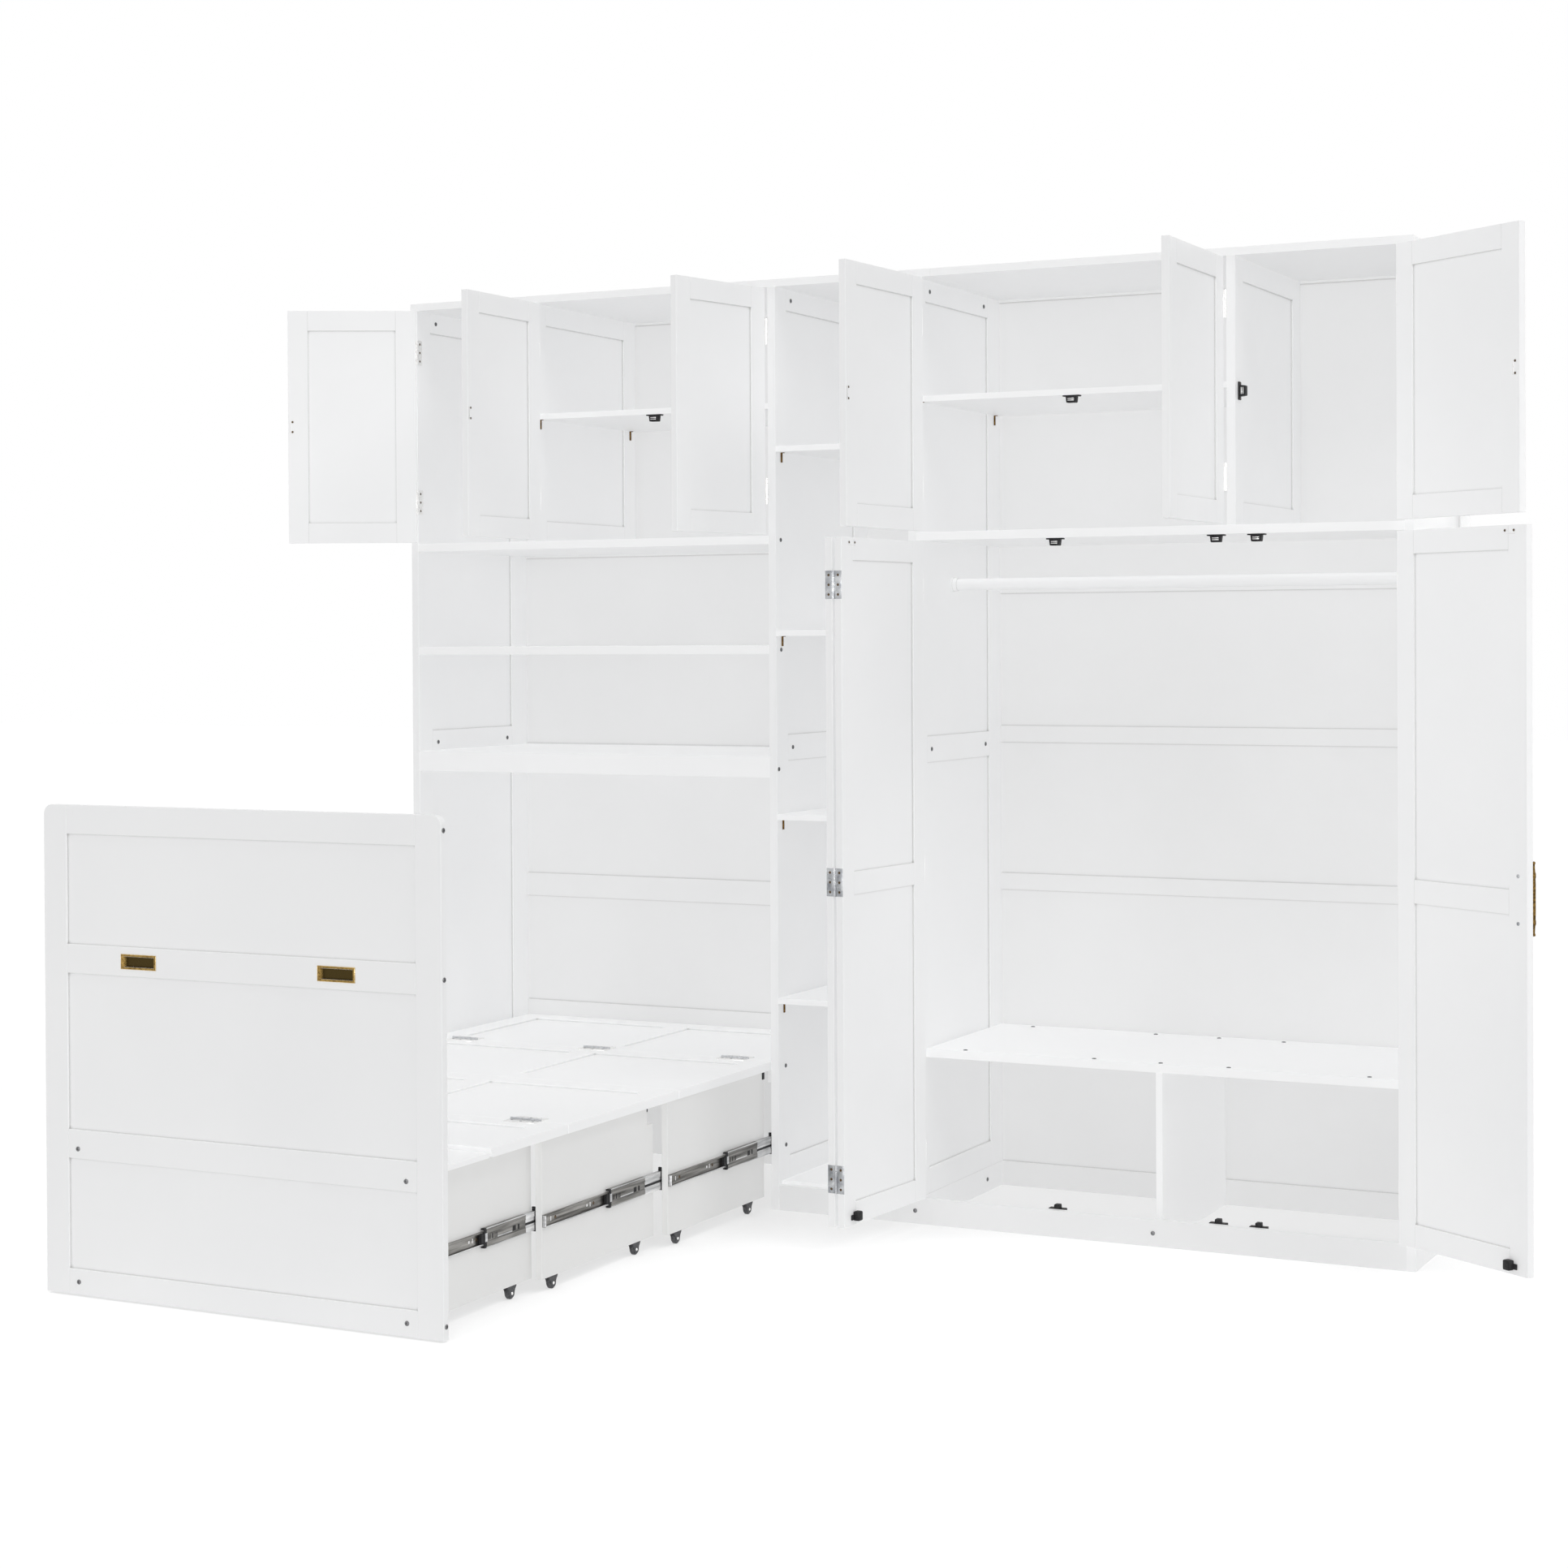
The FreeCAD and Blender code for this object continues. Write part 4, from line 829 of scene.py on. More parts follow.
catch_bodies = bmesh.new()
catch_poles = bmesh.new()
catch_screws = bmesh.new()
divider_walls = [wall for box in solid_boxes("cabinet_dividers") for wall in (box[0].x, box[1].x)]
for low, high in solid_boxes("magnet_catches"):
    long, deep, tall = high - low
    centre = (low + high) / 2
    at_plinth = low.z < PLINTH_HEIGHT
    if tall > long:
        wall_x = min(divider_walls, key=lambda wall: abs(wall - centre.x))
        turn = math.copysign(math.pi / 2, centre.x - wall_x)
        place = Matrix.Translation((wall_x, centre.y, centre.z)) @ Matrix.Rotation(turn, 4, "Y")
        long, tall = tall, long
    elif at_plinth:
        foot_z = PLINTH_HEIGHT - CATCH_FOOT / 2
        rounded_block(catch_bodies, low, (high.x, high.y, foot_z), CATCH_FOOT_ROUND)
        place = Matrix.Translation((centre.x, centre.y, foot_z))
        tall = high.z - foot_z
    else:
        place = Matrix.Translation((centre.x, centre.y, high.z)) @ Matrix.Rotation(math.pi, 4, "Y")
    body_half = long * (PLINTH_CATCH_SHARE if at_plinth else CATCH_BODY_SHARE) / 2
    body = bmesh.new()
    rounded_block(body, (-long / 2, -deep / 2, 0.0), (long / 2, deep / 2, CATCH_FOOT), CATCH_FOOT_ROUND)
    rounded_block(body, (-body_half, -deep / 2, CATCH_FOOT * 0.5), (body_half, deep / 2, tall),
                  CATCH_BODY_ROUND, CATCH_TAPER)
    stamp(catch_bodies, pattern(body), place)
    poles = bmesh.new()
    for share in () if at_plinth else POLES_AT:
        pole_z = tall * share
        rounded_block(poles, (-POLE_LONG / 2, -deep / 2 - POLE_PROUD, pole_z - POLE_THICK / 2),
                      (POLE_LONG / 2, -deep / 2 + POLE_DEEP, pole_z + POLE_THICK / 2), POLE_ROUND)
    stamp(catch_poles, pattern(poles), place)
    for end in (-1, 1):
        ear = Matrix.Translation((end * (body_half + long / 2) / 2, 0.0, CATCH_FOOT))
        stamp(catch_screws, screw_head, place @ ear @ SMALL_SCREW)
put_in("catch_bodies", catch_bodies, black, "cabinet", "magnet_catches")
put_in("catch_poles", catch_poles, bright, "cabinet")
put_in("catch_screws", catch_screws, bronze, "cabinet")

# Leaf stops: black moulded blocks low down inside the three tall leaves, each with a screw lug, which
# rest over the plinth's magnets when the wardrobe is shut.
STOP_LOW = 0.0095
STOP_TALL = 0.021
STOP_WIDE = 0.018
STOP_DEEP = 0.016
STOP_ROUND = 0.003
LUG_HALF = 0.009
LUG_RISE = (0.002, 0.014)
LUG_DEEP = 0.004
LUG_ROUND = 0.0015

for door in ("wardrobe_leaf_a", "wardrobe_leaf_b", "wardrobe_leaf_c"):
    shut = door_shut[door]
    low, high = shut_box(door, shut)
    edge_x, inward = (low.x, 1.0) if door == "wardrobe_leaf_c" else (high.x, -1.0)
    x = edge_x + inward * LEAF_STRIKE_FROM_EDGE
    z = low.z + STOP_LOW
    lug_x = x - inward * STOP_WIDE / 2
    bm = bmesh.new()
    rounded_block(bm, (x - STOP_WIDE / 2, high.y, z),
                  (x + STOP_WIDE / 2, high.y + STOP_DEEP, z + STOP_TALL), STOP_ROUND)
    rounded_block(bm, (lug_x - LUG_HALF, high.y, z + LUG_RISE[0]),
                  (lug_x + LUG_HALF, high.y + LUG_DEEP, z + LUG_RISE[1]), LUG_ROUND)
    bmesh.ops.transform(bm, matrix=shut.inverted(), verts=bm.verts)
    put_in(door + "_stop", bm, black, door_body[door])

# Bar handle: one slim aged-brass bar on leaf C, turned with a collar over each post and drawn out to a
# small bead at each end. Two screws hold it through the stile.
BAR_R = 0.0045
BAR_SLIM_R = 0.0026
BAR_TIP_R = 0.0036
BAR_HALF = 0.0765
BAR_STAND = 0.026
BAR_CREASE = 40.0
POST_R = 0.0040
POST_ROSE_R = 0.0065

handle_brass = metal("dark_handle_brass", "aged_brass",
                     160.0, (0.026, 0.014, 0.003), (0.25, 0.150, 0.042), (0.40, 0.20), 900.0)
low, high = shut_box("wardrobe_leaf_c", door_shut["wardrobe_leaf_c"])
bar_x = low.x + HANDLE_FROM_EDGE
post = HANDLE_SCREW_PITCH
bar_side = [(BAR_R * 0.9, 0.0), (BAR_R * 0.92, post * 0.6), (BAR_R * 0.8, post * 0.86), (BAR_R, post * 0.93),
            (BAR_R, post * 1.07), (BAR_R * 0.7, post * 1.14), (BAR_SLIM_R, post * 1.3),
            (BAR_SLIM_R * 0.9, post * 1.44), (BAR_TIP_R, BAR_HALF - 0.004),
            (BAR_TIP_R * 0.9, BAR_HALF - 0.0012), (0.0, BAR_HALF)]
bar_turned = lathe([(r, -z) for r, z in reversed(bar_side)] + bar_side[1:], sides=28)
post_turned = lathe([(0.0, 0.0), (POST_ROSE_R, 0.0), (POST_ROSE_R, 0.0016), (POST_R * 1.1, 0.0034),
                     (POST_R * 0.8, 0.010), (POST_R * 0.8, BAR_STAND - 0.006), (POST_R, BAR_STAND - 0.002),
                     (0.0, BAR_STAND - 0.001)], sides=24)
bm = bmesh.new()
stamp(bm, bar_turned, Matrix.Translation((bar_x, low.y - BAR_STAND, HANDLE_HEIGHT)))
for end in (-1, 1):
    stamp(bm, post_turned, facing((bar_x, low.y, HANDLE_HEIGHT + end * post), (0, -1, 0)))
bmesh.ops.transform(bm, matrix=door_shut["wardrobe_leaf_c"].inverted(), verts=bm.verts)
put_in("turned_bar_handle", bm, handle_brass, "leaf_c", "bar_handle", crease=BAR_CREASE)

# Footboard: the bed's tall front of painted board, two stiles with four rails and three sunk panels between
# them. The outer top corners are rounded, and the pull rail is pocketed for the two pulls.
FOOTBOARD_STILE = 0.060
FOOTBOARD_FIELDS = [(0.057, 0.287), (0.347, 0.672), (0.732, 0.961)]
FOOTBOARD_ROUND = 0.020
FOOTBOARD_SHARP = 40.0
FACING_OUT = -0.99
PULL_LIP = 0.005
PULL_DEEP = 0.009


def sunk(bm, face, depth):
    """Sink one face of the bed's front into the board and return its floor."""
    floor_face = bmesh.ops.extrude_discrete_faces(bm, faces=[face])["faces"][0]
    bmesh.ops.translate(bm, vec=(0, depth, 0), verts=floor_face.verts[:])
    return floor_face


pull_boxes = solid_boxes("flush_pulls")
low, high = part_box("footboard")
inner = (low.x + FOOTBOARD_STILE, high.x - FOOTBOARD_STILE)
bm = bmesh.new()
for stile_x, outer_x in (((low.x, inner[0]), low.x), ((inner[1], high.x), high.x)):
    stile = bmesh.new()
    block(stile, (stile_x[0], low.y, low.z), (stile_x[1], high.y, high.z))
    corner = [edge for edge in stile.edges
              if all(abs(v.co.x - outer_x) < WELD and abs(v.co.z - high.z) < WELD for v in edge.verts)]
    ease(stile, corner, FOOTBOARD_ROUND, segments=8)
    ease(stile, sharp_edges(stile, FOOTBOARD_SHARP), ARRIS)
    join(bm, stile)
levels = [low.z] + [z for span in FOOTBOARD_FIELDS for z in span] + [high.z]
for rail_low, rail_high in zip(levels[0::2], levels[1::2]):
    rail = bmesh.new()
    board(rail, (inner[0], low.y, rail_low), (inner[1], high.y, rail_high))
    for pull_low, pull_high in [box for box in pull_boxes if rail_low < box[0].z < rail_high]:
        left, right = pull_low.x + PULL_LIP, pull_high.x - PULL_LIP
        foot, head = pull_low.z + PULL_LIP, pull_high.z - PULL_LIP
        for point, normal in (((left, 0, 0), (1, 0, 0)), ((right, 0, 0), (1, 0, 0)),
                              ((0, 0, foot), (0, 0, 1)), ((0, 0, head), (0, 0, 1))):
            bmesh.ops.bisect_plane(rail, geom=rail.verts[:] + rail.edges[:] + rail.faces[:], dist=FINE_WELD,
                                   plane_co=point, plane_no=normal)
        for face in [face for face in rail.faces if face.normal.y < FACING_OUT]:
            middle = face.calc_center_median()
            if left < middle.x < right and foot < middle.z < head:
                sunk(rail, face, PULL_DEEP)
    join(bm, rail)
for span in FOOTBOARD_FIELDS:
    board(bm, (inner[0] - TONGUE, low.y + FRAME_SINK, span[0] - TONGUE),
          (inner[1] + TONGUE, high.y - FRAME_SINK, span[1] + TONGUE))
put_in("footboard_boards", bm, paint, "section_1", "footboard")

# Flush pulls: pressed brass trays let into the pull rail, with a rolled lip round the opening and a
# sloping finger well, darker the deeper it goes as painted shade. A bead of paler brass runs round the
# lip as a painted highlight.
WELL_SHADE_FROM = -0.0002
WELL_SHADE_TO = 0.0070
PULL_RIM_ROUND = 0.0011
PULL_LIP_SHOWN = 0.0034
PULL_PLAY = 0.0002
PULL_BACK_SLOPE = 0.99
PULL_WELL_SLOPE = 0.88
PULL_BEAD = 0.0010
PULL_BEAD_ROUND = 0.0004
WELL_CLOUDS = 210.0
WELL_POLISH = (0.40, 0.22)

face_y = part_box("footboard")[0].y
well = Finish("brass_with_painted_shade_in_the_well", "aged_brass", CREASE)
well_tone = well.cloudy(WELL_CLOUDS, detail=4.0)
well_lip = well.blended(well_tone, (0.15, 0.092, 0.026), (0.40, 0.265, 0.085))
# The well's brass darkens with depth into the tray: painted shade.
well_shade_depth = well.spread(well.node("SeparateXYZ", Vector=well.place).outputs["Y"],
                         (face_y + WELL_SHADE_FROM, face_y + WELL_SHADE_TO))
well.plug(well.shader, Base_Color=well.over(well_shade_depth, well_lip, (0.058, 0.040, 0.013)),
          Roughness=well.between(well_tone, *WELL_POLISH), Metallic=1.0)
# The bead's paler brass is a painted highlight round the lip.
highlight_brass = metal("paler_brass_bead_highlight", "aged_brass",
                 260.0, (0.46, 0.31, 0.11), (0.80, 0.62, 0.32), (0.34, 0.20))
trays = bmesh.new()
highlight_beads = bmesh.new()
for low, high in pull_boxes:
    tray = bmesh.new()
    block(tray, low, (high.x, face_y, high.z))
    rim = [edge for edge in tray.edges if all(vert.co.y < face_y - FINE_WELD for vert in edge.verts)]
    ease(tray, rim, PULL_RIM_ROUND, segments=3)
    front = min(tray.faces, key=lambda face: face.calc_center_median().y)
    back = max(tray.faces, key=lambda face: face.calc_center_median().y)
    for face, inset, depth, slope in ((back, PULL_LIP, PULL_DEEP - PULL_PLAY, PULL_BACK_SLOPE),
                                      (front, PULL_LIP_SHOWN, PULL_DEEP, PULL_WELL_SLOPE)):
        bmesh.ops.inset_region(tray, faces=[face], thickness=inset, use_even_offset=True)
        floor_face = sunk(tray, face, depth)
        bmesh.ops.scale(tray, vec=(slope, 1.0, slope), verts=floor_face.verts[:],
                        space=Matrix.Translation(-floor_face.calc_center_median()))
    outward(tray)
    join(trays, tray)
    for z in (low.z, high.z - PULL_BEAD):
        rounded_block(highlight_beads, (low.x, low.y, z), (high.x, face_y, z + PULL_BEAD), PULL_BEAD_ROUND)
    for x in (low.x, high.x - PULL_BEAD):
        rounded_block(highlight_beads, (x, low.y, low.z), (x + PULL_BEAD, face_y, high.z), PULL_BEAD_ROUND)
put_in("brass_flush_pulls", trays, well, "section_1", "flush_pulls")
put_in("brass_pull_highlight_beads", highlight_beads, highlight_brass, "section_1")

# Bed sections: three nested boxes of painted board, two sides and a rear rail each, in a darker copy of
# the white paint as painted shade. Section 1 carries the thin strip behind the footboard, and section 2 is
# notched for the rail that passes it.
SECTION_THICK = 0.015
SECTION_1_HALF = 0.420
SECTION_NOTCH = (0.026, 0.050)
SECTION_RAIL = (0.025, 0.040)
STRIP_LOW = 0.3295
STRIP_GAP = 0.0025

# A darker copy of the white paint: painted shade on the bed sections.
shaded_section_paint = painted("section_paint_darkened_as_painted_shade", (0.792, 0.792, 0.785), (0.820, 0.820, 0.813), (0.52, 0.52, 0.515),
                 (0.38, 0.48))
low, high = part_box("bay_open_shelf")
bed_mid = (low.x + high.x) / 2
section_boxes = {number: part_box("section_%d_frame" % number) for number in (1, 2, 3)}
section_top = section_boxes[2][1].z
section_half = {1: SECTION_1_HALF}
for number in (2, 3):
    section_half[number] = (section_boxes[number][1].x - section_boxes[number][0].x) / 2
for number, (low, high) in section_boxes.items():
    half = section_half[number]
    top_rear = high.y - (SECTION_NOTCH[0] if number == 2 else 0.0)
    bm = bmesh.new()
    for side in (-1, 1):
        near, far = sorted((bed_mid + side * half, bed_mid + side * (half - SECTION_THICK)))
        board(bm, (near, low.y, low.z), (far, top_rear, section_top))
        if number == 2:
            board(bm, (near, top_rear - 2 * ARRIS, low.z), (far, high.y, section_top - SECTION_NOTCH[1]))
    inner_half = half - SECTION_THICK
    board(bm, (bed_mid - inner_half, top_rear - SECTION_RAIL[0], section_top - SECTION_RAIL[1]),
          (bed_mid + inner_half, top_rear, section_top))
    body = "section_%d" % number
    put_in(body + "_boards", bm, shaded_section_paint, body, body + "_frame")
    if number == 1:
        bm = bmesh.new()
        board(bm, (low.x, low.y, STRIP_LOW), (high.x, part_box("deck_board_d")[0].y - STRIP_GAP, high.z))
        put_in("fixed_deck_strip", bm, pale_shelf_paint, "section_1")

# Bumpers: small black pads glued on the upper rear corners of the two rear sections, which soften their
# stop. Those of section 3 wrap further round onto its side.
BUMPER_TALL = 0.017
BUMPER_WIDE = 0.008
BUMPER_THICK = {2: 0.0008, 3: 0.0025}
BUMPER_ROUND = {2: 0.00032, 3: 0.0008}
BUMPER_WRAP = {2: 0.002, 3: 0.009}
BUMPER_SKIN = 0.0012
BUMPER_SKIN_ROUND = 0.00036
BUMPER_BED = 0.0002
BUMPER_DROP = 0.003

for number, thick in BUMPER_THICK.items():
    half = section_half[number]
    rear = section_boxes[number][1].y - (SECTION_NOTCH[0] if number == 2 else 0.0)
    pad_high = section_top - BUMPER_DROP
    pad_low = pad_high - BUMPER_TALL
    bm = bmesh.new()
    for side in (-1, 1):
        x = bed_mid + side * (half - SECTION_THICK / 2)
        rounded_block(bm, (x - BUMPER_WIDE / 2, rear - BUMPER_BED, pad_low),
                      (x + BUMPER_WIDE / 2, rear + thick, pad_high), BUMPER_ROUND[number])
        near, far = sorted((bed_mid + side * (half - BUMPER_BED), bed_mid + side * (half + BUMPER_SKIN)))
        rounded_block(bm, (near, rear - BUMPER_WRAP[number], pad_low), (far, rear + thick, pad_high),
                      BUMPER_SKIN_ROUND)
    put_in("section_%d_bumpers" % number, bm, black, "section_%d" % number)

# Drawer slides: rolled steel channels that run inside each other on caged balls. The inner one is
# screwed to the moving section, the outer one to what carries it, and the middle one floats between them
# behind a black stop. The inner one and the middle one's front run are in a darker steel as painted
# shade, with a pale lower lip on the inner one and pale strips along the front run's edges as painted
# highlights. Runs are measured from a channel's front end.
CHANNEL_GAUGE = 0.0015
CHANNEL_ROUND = 0.0004
CHANNEL_SLENDER = 4
TALL_PLAY = 0.002
INNER_TALL = 0.026
INNER_HIGHLIGHT_LIP = (-0.0016, 0.0002)
INNER_HIGHLIGHT_LIP_TALL = 0.0026
INNER_CAP = 0.003
SLIDE_SCREW_R = 0.0040
SLIDE_SCREWS_AT = (0.050, 0.207)
HOLE_DEPTH = (-0.0002, 0.0001)
PUNCHED_HOLES = ((0.032, 0.0014, 0.0048), (0.180, 0.0026, 0.0026), (0.193, 0.0014, 0.0048))
OUTER_TALL = 0.045
END_RUN = (-0.0006, 0.0040)
END_WEB = 0.0018
END_FLANGE = 0.0021
END_HOOK = (-0.0005, 0.0060)
GROOVE_HALF = 0.0085
GROOVE_DEEP = 0.0009
SHADED_RUN = (0.021, 0.172)
HIGHLIGHT_STRIP = 0.0022
HIGHLIGHT_STRIP_DEPTH = (-0.0001, 0.0008)
NOSE_RUN = (0.014, 0.023)
NOSE_WEB = 0.00195
NOSE_FLANGE = 0.0033
NOSE_PLATE = ((-0.0001, 0.001), (0.017, 0.026), (-0.008, 0.010))
SLIDE_STOP_RUN = (0.0045, 0.0150)
SLIDE_STOP_HALF = 0.011
SLIDE_STOP_INSET = 0.0006
GUIDE_DEPTH = (0.0007, 0.0012)
GUIDE_RUN = (0.064, 0.120)
GUIDE_RISE = (-0.0060, -0.0035)
REAR_STRIP_SHORT = 0.002
REAR_STRIP_RISE = (-0.0040, 0.0015)
CAGE_DEPTH = (0.0006, 0.0012)
CAGE_RISE = (-0.0052, 0.0052)
CAGE_BARS = ((0.030, 0.033), (0.036, 0.038), (0.044, 0.048), (0.054, 0.056), (0.060, 0.063), (0.122, 0.134),
             (0.142, 0.148))
CAGE_ROUND = 0.0002
LIP_ROUND = 0.0005
CAP_ROUND = 0.0006
HOLE_ROUND = 0.0001
HIGHLIGHT_STRIP_ROUND = 0.0003
SLIDE_STOP_ROUND = 0.0010
NOSE_PLATE_ROUND = 0.0004
ROLLED_STREAKS = 170.0
ROLLED_STRETCH = (1.0, 0.05, 1.0)
ROLLED_POLISH = (0.40, 0.26)
ROLLED_RELIEF = (0.0001, 0.3)


def rolled_steel(name, dark, pale):
    """Steel with the long streaks of the rolling mill, along the bed."""
    finish = Finish(name, "zinc_steel", CREASE)
    along = finish.node("Mapping", Vector=finish.place, Scale=ROLLED_STRETCH).outputs["Vector"]
    streak = finish.cloudy(ROLLED_STREAKS, detail=3.0, place=along)
    finish.plug(finish.shader, Base_Color=finish.blended(streak, dark, pale),
                Roughness=finish.between(streak, *ROLLED_POLISH),
                Normal=finish.raised(streak, *ROLLED_RELIEF), Metallic=1.0)
    return finish


# A darker copy of the slide steel, as painted shade.
shade_slide_steel = rolled_steel("slide_steel_darkened_as_painted_shade", (0.095, 0.092, 0.086), (0.36, 0.352, 0.335))
plated = rolled_steel("plated_slide_steel", (0.40, 0.405, 0.415), (0.82, 0.82, 0.82))


def channel(bm, low, high, run, web_high, web=CHANNEL_GAUGE, flange=CHANNEL_GAUGE, groove=0.0):
    """A run of channel along the bed, its web on the side of higher or lower x and grooved if asked."""
    deep = high.x - low.x
    middle = (low.z + high.z) / 2
    section = [(0.0, low.z), (deep, low.z), (deep, low.z + flange), (web, low.z + flange),
               (web, high.z - flange), (deep, high.z - flange), (deep, high.z), (0.0, high.z)]
    if groove:
        section += [(0.0, middle + GROOVE_HALF), (groove, middle + GROOVE_HALF - groove),
                    (groove, middle - GROOVE_HALF + groove), (0.0, middle - GROOVE_HALF)]
    drawn_out(bm, [(high.x - u if web_high else low.x + u, low.y + run[0], z) for u, z in section],
              (0.0, run[1] - run[0], 0.0))


def rolled(bm):
    """Round a channel's edges as rolling leaves them."""
    outward(bm)
    ease(bm, sharp_edges(bm), CHANNEL_ROUND)


def across(bm, face, depth, run, rise, round_by):
    """A small block that stands a given depth out of an upright face of a slide."""
    x, y, z, side = face
    near, far = sorted((x + side * depth[0], x + side * depth[1]))
    rounded_block(bm, (near, y + run[0], z + rise[0]), (far, y + run[1], z + rise[1]), round_by)


slide_screw = lathe([(0.0, 0.0005), (SLIDE_SCREW_R * 0.35, 0.0005), (SLIDE_SCREW_R * 0.42, 0.0009),
                     (SLIDE_SCREW_R * 0.8, 0.0008), (SLIDE_SCREW_R, 0.0), (0.0, 0.0)], sides=16)
slide_nodes = {"cabinet_slide_rails": "cabinet", "middle_slides_3": "middle_slides_3",
               "middle_slides_2": "middle_slides_2", "middle_slides_1": "middle_slides_1",
               "section_3_hardware": "section_3", "section_2_hardware": "section_2",
               "section_1_hardware": "section_1"}
for node, body in slide_nodes.items():
    outer_steel = bmesh.new()
    shaded_steel_parts = bmesh.new()
    plastic = bmesh.new()
    screws = bmesh.new()
    holes = bmesh.new()
    for low, high in solid_boxes(node):
        deep, length, tall = high - low
        if length < CHANNEL_SLENDER * tall:
            continue
        z = (low.z + high.z) / 2
        on_right = (low.x + high.x) / 2 > bed_mid
        side = 1.0 if on_right else -1.0
        near_x, far_x = (low.x, high.x) if on_right else (high.x, low.x)
        from_bed = (near_x, low.y, z, side)
        from_carcass = (far_x, low.y, z, -side)
        half = tall / 2
        if abs(tall - INNER_TALL) < TALL_PLAY:
            web_x = near_x + side * CHANNEL_GAUGE
            channel(shaded_steel_parts, low, high, (0.0, length), not on_right)
            # A pale strip of plated steel along the inner channel's lower edge: painted highlight.
            across(outer_steel, from_bed, (deep + INNER_HIGHLIGHT_LIP[0], deep + INNER_HIGHLIGHT_LIP[1]), (0.0, length),
                   (-half, -half + INNER_HIGHLIGHT_LIP_TALL), LIP_ROUND)
            across(outer_steel, from_bed, (0.0, deep), (0.0, INNER_CAP), (-half, half), CAP_ROUND)
            for at in SLIDE_SCREWS_AT:
                stamp(screws, slide_screw, facing((web_x, low.y + at, z), (side, 0, 0)))
            for at, half_y, half_z in PUNCHED_HOLES:
                across(holes, (web_x, low.y, z, side), HOLE_DEPTH, (at - half_y, at + half_y),
                       (-half_z, half_z), HOLE_ROUND)
        elif abs(tall - OUTER_TALL) < TALL_PLAY:
            channel(outer_steel, low, high, (0.0, length), on_right)
            channel(plastic, low, high, END_RUN, on_right, END_WEB, END_FLANGE)
            across(plastic, from_carcass, (0.0, deep), END_RUN,
                   (half + END_HOOK[0], half + END_HOOK[1]), LIP_ROUND)
        else:
            channel(shaded_steel_parts, low, high, SHADED_RUN, on_right, groove=GROOVE_DEEP)
            channel(outer_steel, low, high, (SHADED_RUN[1], length), on_right, groove=GROOVE_DEEP)
            across(plastic, from_carcass, GUIDE_DEPTH, (SHADED_RUN[1], length - REAR_STRIP_SHORT),
                   REAR_STRIP_RISE, CAGE_ROUND)
            # Pale strips along the dark front run's edges: painted highlights.
            for edge in (-half, half - HIGHLIGHT_STRIP):
                across(outer_steel, from_carcass, HIGHLIGHT_STRIP_DEPTH, SHADED_RUN,
                       (edge, edge + HIGHLIGHT_STRIP), HIGHLIGHT_STRIP_ROUND)
            channel(plastic, low, high, NOSE_RUN, on_right, NOSE_WEB, NOSE_FLANGE)
            across(plastic, from_carcass, (SLIDE_STOP_INSET, deep - SLIDE_STOP_INSET), SLIDE_STOP_RUN,
                   (-SLIDE_STOP_HALF, SLIDE_STOP_HALF), SLIDE_STOP_ROUND)
            across(outer_steel, from_carcass, *NOSE_PLATE, NOSE_PLATE_ROUND)
            for bar in CAGE_BARS:
                across(plastic, from_carcass, CAGE_DEPTH, bar, CAGE_RISE, CAGE_ROUND)
            across(outer_steel, from_carcass, GUIDE_DEPTH, GUIDE_RUN, GUIDE_RISE, CAGE_ROUND)
    rolled(outer_steel)
    put_in(node + "_channels", outer_steel, plated, body, node)
    if len(shaded_steel_parts.verts):
        rolled(shaded_steel_parts)
        put_in(node + "_painted_shade_steel", shaded_steel_parts, shade_slide_steel, body)
    if len(screws.verts):
        put_in(node + "_screws", screws, bronze, body, slot="bolt_steel")
        put_in(node + "_punched_holes", holes, paint, body)
    if len(plastic.verts):
        outward(plastic)
        put_in(node + "_cages", plastic, black, body, crease=FLAT)

# Casters: dark moulded wheels between two pressed cheeks under the section sides, each fork hung from a
# small plate and pinned through by its axle.
CHEEK_THICK = 0.0015
CHEEK_GAP = 0.0050
CHEEK_ROUND = 0.0003
FORK_PLATE = 0.0020
FORK_PLATE_ROUND = 0.0006
FORK_HALF = 0.017
AXLE_HEAD_R = 0.0034
WHEEL_FLANK = [(0.0021, -0.0036), (0.0050, -0.0036), (0.0056, -0.0045), (0.0104, -0.0045), (0.0115, -0.0040),
               (0.0120, -0.0030)]

caster = moulded("dark_caster_plastic", "dark_caster",
                 240.0, (0.050, 0.051, 0.054), (0.120, 0.121, 0.126), (0.34, 0.52), 1200.0)
wheel = lathe(WHEEL_FLANK + [(r, -z) for r, z in reversed(WHEEL_FLANK)], sides=32, ring=True)
axle_head = lathe([(0.0, 0.0012), (AXLE_HEAD_R * 0.7, 0.0010), (AXLE_HEAD_R, 0.0), (0.0, 0.0)], sides=16)
axle_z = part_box("wheels_2_front")[1].z / 2
plate_rise = section_boxes[2][0].z - FORK_PLATE - axle_z
plate_half = CHEEK_GAP + CHEEK_THICK
cheek_flank = [(FORK_HALF, plate_rise), (FORK_HALF * 0.93, plate_rise - 0.002), (0.0125, 0.0080),
               (0.0104, 0.0040), (0.0096, 0.0), (0.0086, -0.0040), (0.0064, -0.0068), (0.0034, -0.0086)]
cheek_outline = cheek_flank + [(-y, z) for y, z in reversed(cheek_flank)]
bm = bmesh.new()
rounded_block(bm, (-plate_half, -FORK_HALF, plate_rise), (plate_half, FORK_HALF, plate_rise + FORK_PLATE),
              FORK_PLATE_ROUND)
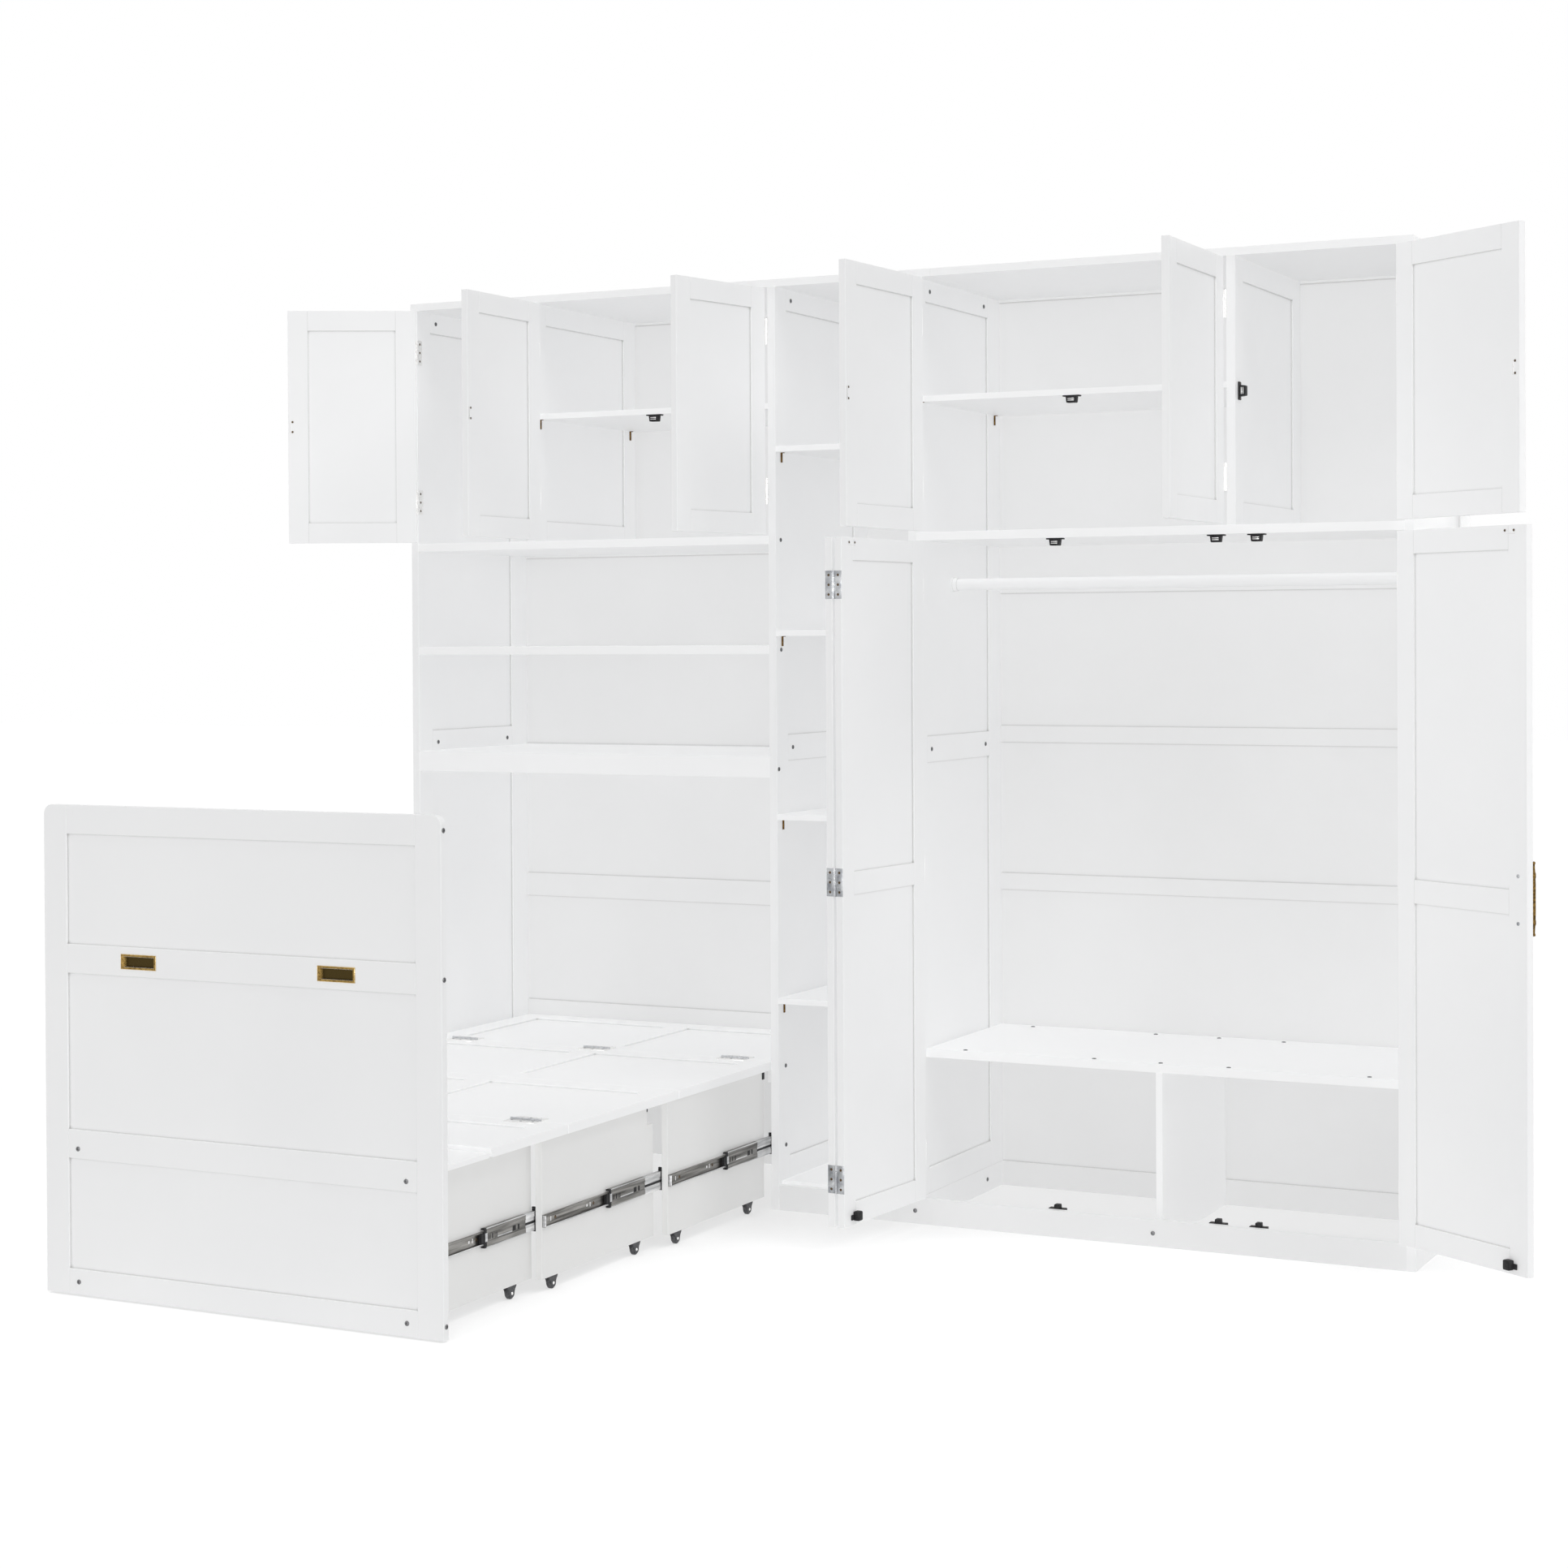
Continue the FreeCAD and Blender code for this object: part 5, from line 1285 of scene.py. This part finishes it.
for side in (-1, 1):
    cheek = bmesh.new()
    drawn_out(cheek, [(side * CHEEK_GAP, y, z) for y, z in cheek_outline], (side * CHEEK_THICK, 0.0, 0.0))
    outward(cheek)
    ease(cheek, sharp_edges(cheek), CHEEK_ROUND, segments=1)
    join(bm, cheek)
fork = pattern(bm)
wheel_nodes = {"section_1": ("wheels_1_rear",), "section_2": ("wheels_2_front", "wheels_2_rear"),
               "section_3": ("wheels_3_front", "wheels_3_rear")}
for body, nodes in wheel_nodes.items():
    forks = bmesh.new()
    axles = bmesh.new()
    for node in nodes:
        wheels = bmesh.new()
        for low, high in solid_boxes(node):
            centre = (low + high) / 2
            stamp(wheels, wheel, facing(centre, (1, 0, 0)))
            stamp(forks, fork, Matrix.Translation(centre))
            for side in (-1, 1):
                stamp(axles, axle_head, facing(centre + Vector((side * plate_half, 0, 0)), (side, 0, 0)))
        put_in(node + "_tyres", wheels, caster, node, node)
    put_in(body + "_caster_forks", forks, caster, body)
    put_in(body + "_caster_axles", axles, bright, body)

# Deck: four painted boards, each a frame with two shallow fields on top. The rear one lies on the bay's
# ledges and the others fold up on it in a zigzag.
deck_bodies = {"a": "cabinet", "b": "deck_b", "c": "deck_c", "d": "deck_d"}
for letter, body in deck_bodies.items():
    node = "deck_board_" + letter
    put_in(node + "_eased", eased_copy(node, ARRIS), pale_shelf_paint, body, node)

# Deck hinges: zinc-plated flap hinges across each joint of the deck, three to a row, with three blued
# screws in each leaf. The outer rows lie on top and the middle row underneath.
DECK_HINGE_LONG = 0.075
DECK_PIN_RISE = 0.003
DECK_PIN_R = 0.0027
DECK_LEAF_NEAR = 0.0035
DECK_LEAF_FAR = 0.030
DECK_LEAF_THICK = 0.002
DECK_LEAF_EDGE = 0.0003
DECK_TAB_RISE = 0.0002
DECK_TAB_LAP = 0.001
DECK_KNUCKLES = 5
DECK_SCREWS_AT = ((-0.026, 0.015), (0.0, 0.021), (0.026, 0.015))

barrel_zinc = metal("satin_zinc_barrel", "zinc_steel",
                    180.0, (0.46, 0.47, 0.49), (0.70, 0.71, 0.73), (0.36, 0.24))
blued = metal("blued_screw", "bolt_steel", 700.0, (0.040, 0.044, 0.052), (0.15, 0.16, 0.18), (0.42, 0.28))
deck_knuckle_long = DECK_HINGE_LONG / DECK_KNUCKLES
deck_knuckle_half = deck_knuckle_long / 2 - HINGE_SLIT
deck_knuckle = turned_knuckle(DECK_PIN_R, deck_knuckle_half, sides=16)
leaf_low = -DECK_PIN_RISE
leaf_high = leaf_low + DECK_LEAF_THICK


def deck_hinge_half(knuckles):
    """One leaf lying toward +Y of a pin along X, with a tab to each of its knuckles, and those knuckles."""
    half = DECK_HINGE_LONG / 2
    leaf = bmesh.new()
    barrel = bmesh.new()
    board(leaf, (-half, DECK_LEAF_NEAR, leaf_low), (half, DECK_LEAF_FAR, leaf_high), DECK_LEAF_EDGE)
    for i in knuckles:
        x = deck_knuckle_long * (i + 0.5) - half
        board(leaf, (x - deck_knuckle_half, 0.0, leaf_low + DECK_TAB_RISE),
              (x + deck_knuckle_half, DECK_LEAF_NEAR + DECK_TAB_LAP, leaf_high), DECK_LEAF_EDGE)
        stamp(barrel, deck_knuckle, facing((x, 0, 0), (1, 0, 0)))
    return pattern(leaf), pattern(barrel)


deck_halves = {1: deck_hinge_half(OUTER_KNUCKLES), -1: deck_hinge_half(INNER_KNUCKLES)}
bm = bmesh.new()
for x, y in DECK_SCREWS_AT:
    stamp(bm, screw_head, Matrix.Translation((x, y, leaf_high)))
deck_screws = pattern(bm)
deck_rows = {"a": (("deck_b_fold", 1, True),), "b": (("deck_b_fold", -1, True), ("deck_c_fold", 1, False)),
             "c": (("deck_c_fold", -1, False), ("deck_d_fold", 1, True)), "d": (("deck_d_fold", -1, True),)}
row_x = [(low.x + high.x) / 2 for low, high in solid_boxes("deck_hinges_a")]
for letter, rows in deck_rows.items():
    leaves = bmesh.new()
    barrels = bmesh.new()
    screws = bmesh.new()
    for joint_name, direction, on_top in rows:
        pin = joints[joint_name]["pos_m"]
        for x in row_x:
            place = Matrix.Translation((x, pin[1], pin[2]))
            if direction < 0:
                place = place @ Matrix.Rotation(math.pi, 4, "Z")
            if not on_top:
                place = place @ Matrix.Rotation(math.pi, 4, "Y")
            leaf, barrel = deck_halves[direction]
            stamp(leaves, leaf, place)
            stamp(barrels, barrel, place)
            stamp(screws, deck_screws, place)
    body = deck_bodies[letter]
    put_in("deck_hinge_leaves_" + letter, leaves, bright, body, "deck_hinges_" + letter)
    put_in("deck_hinge_barrels_" + letter, barrels, barrel_zinc, body)
    put_in("deck_hinge_screws_" + letter, screws, blued, body)
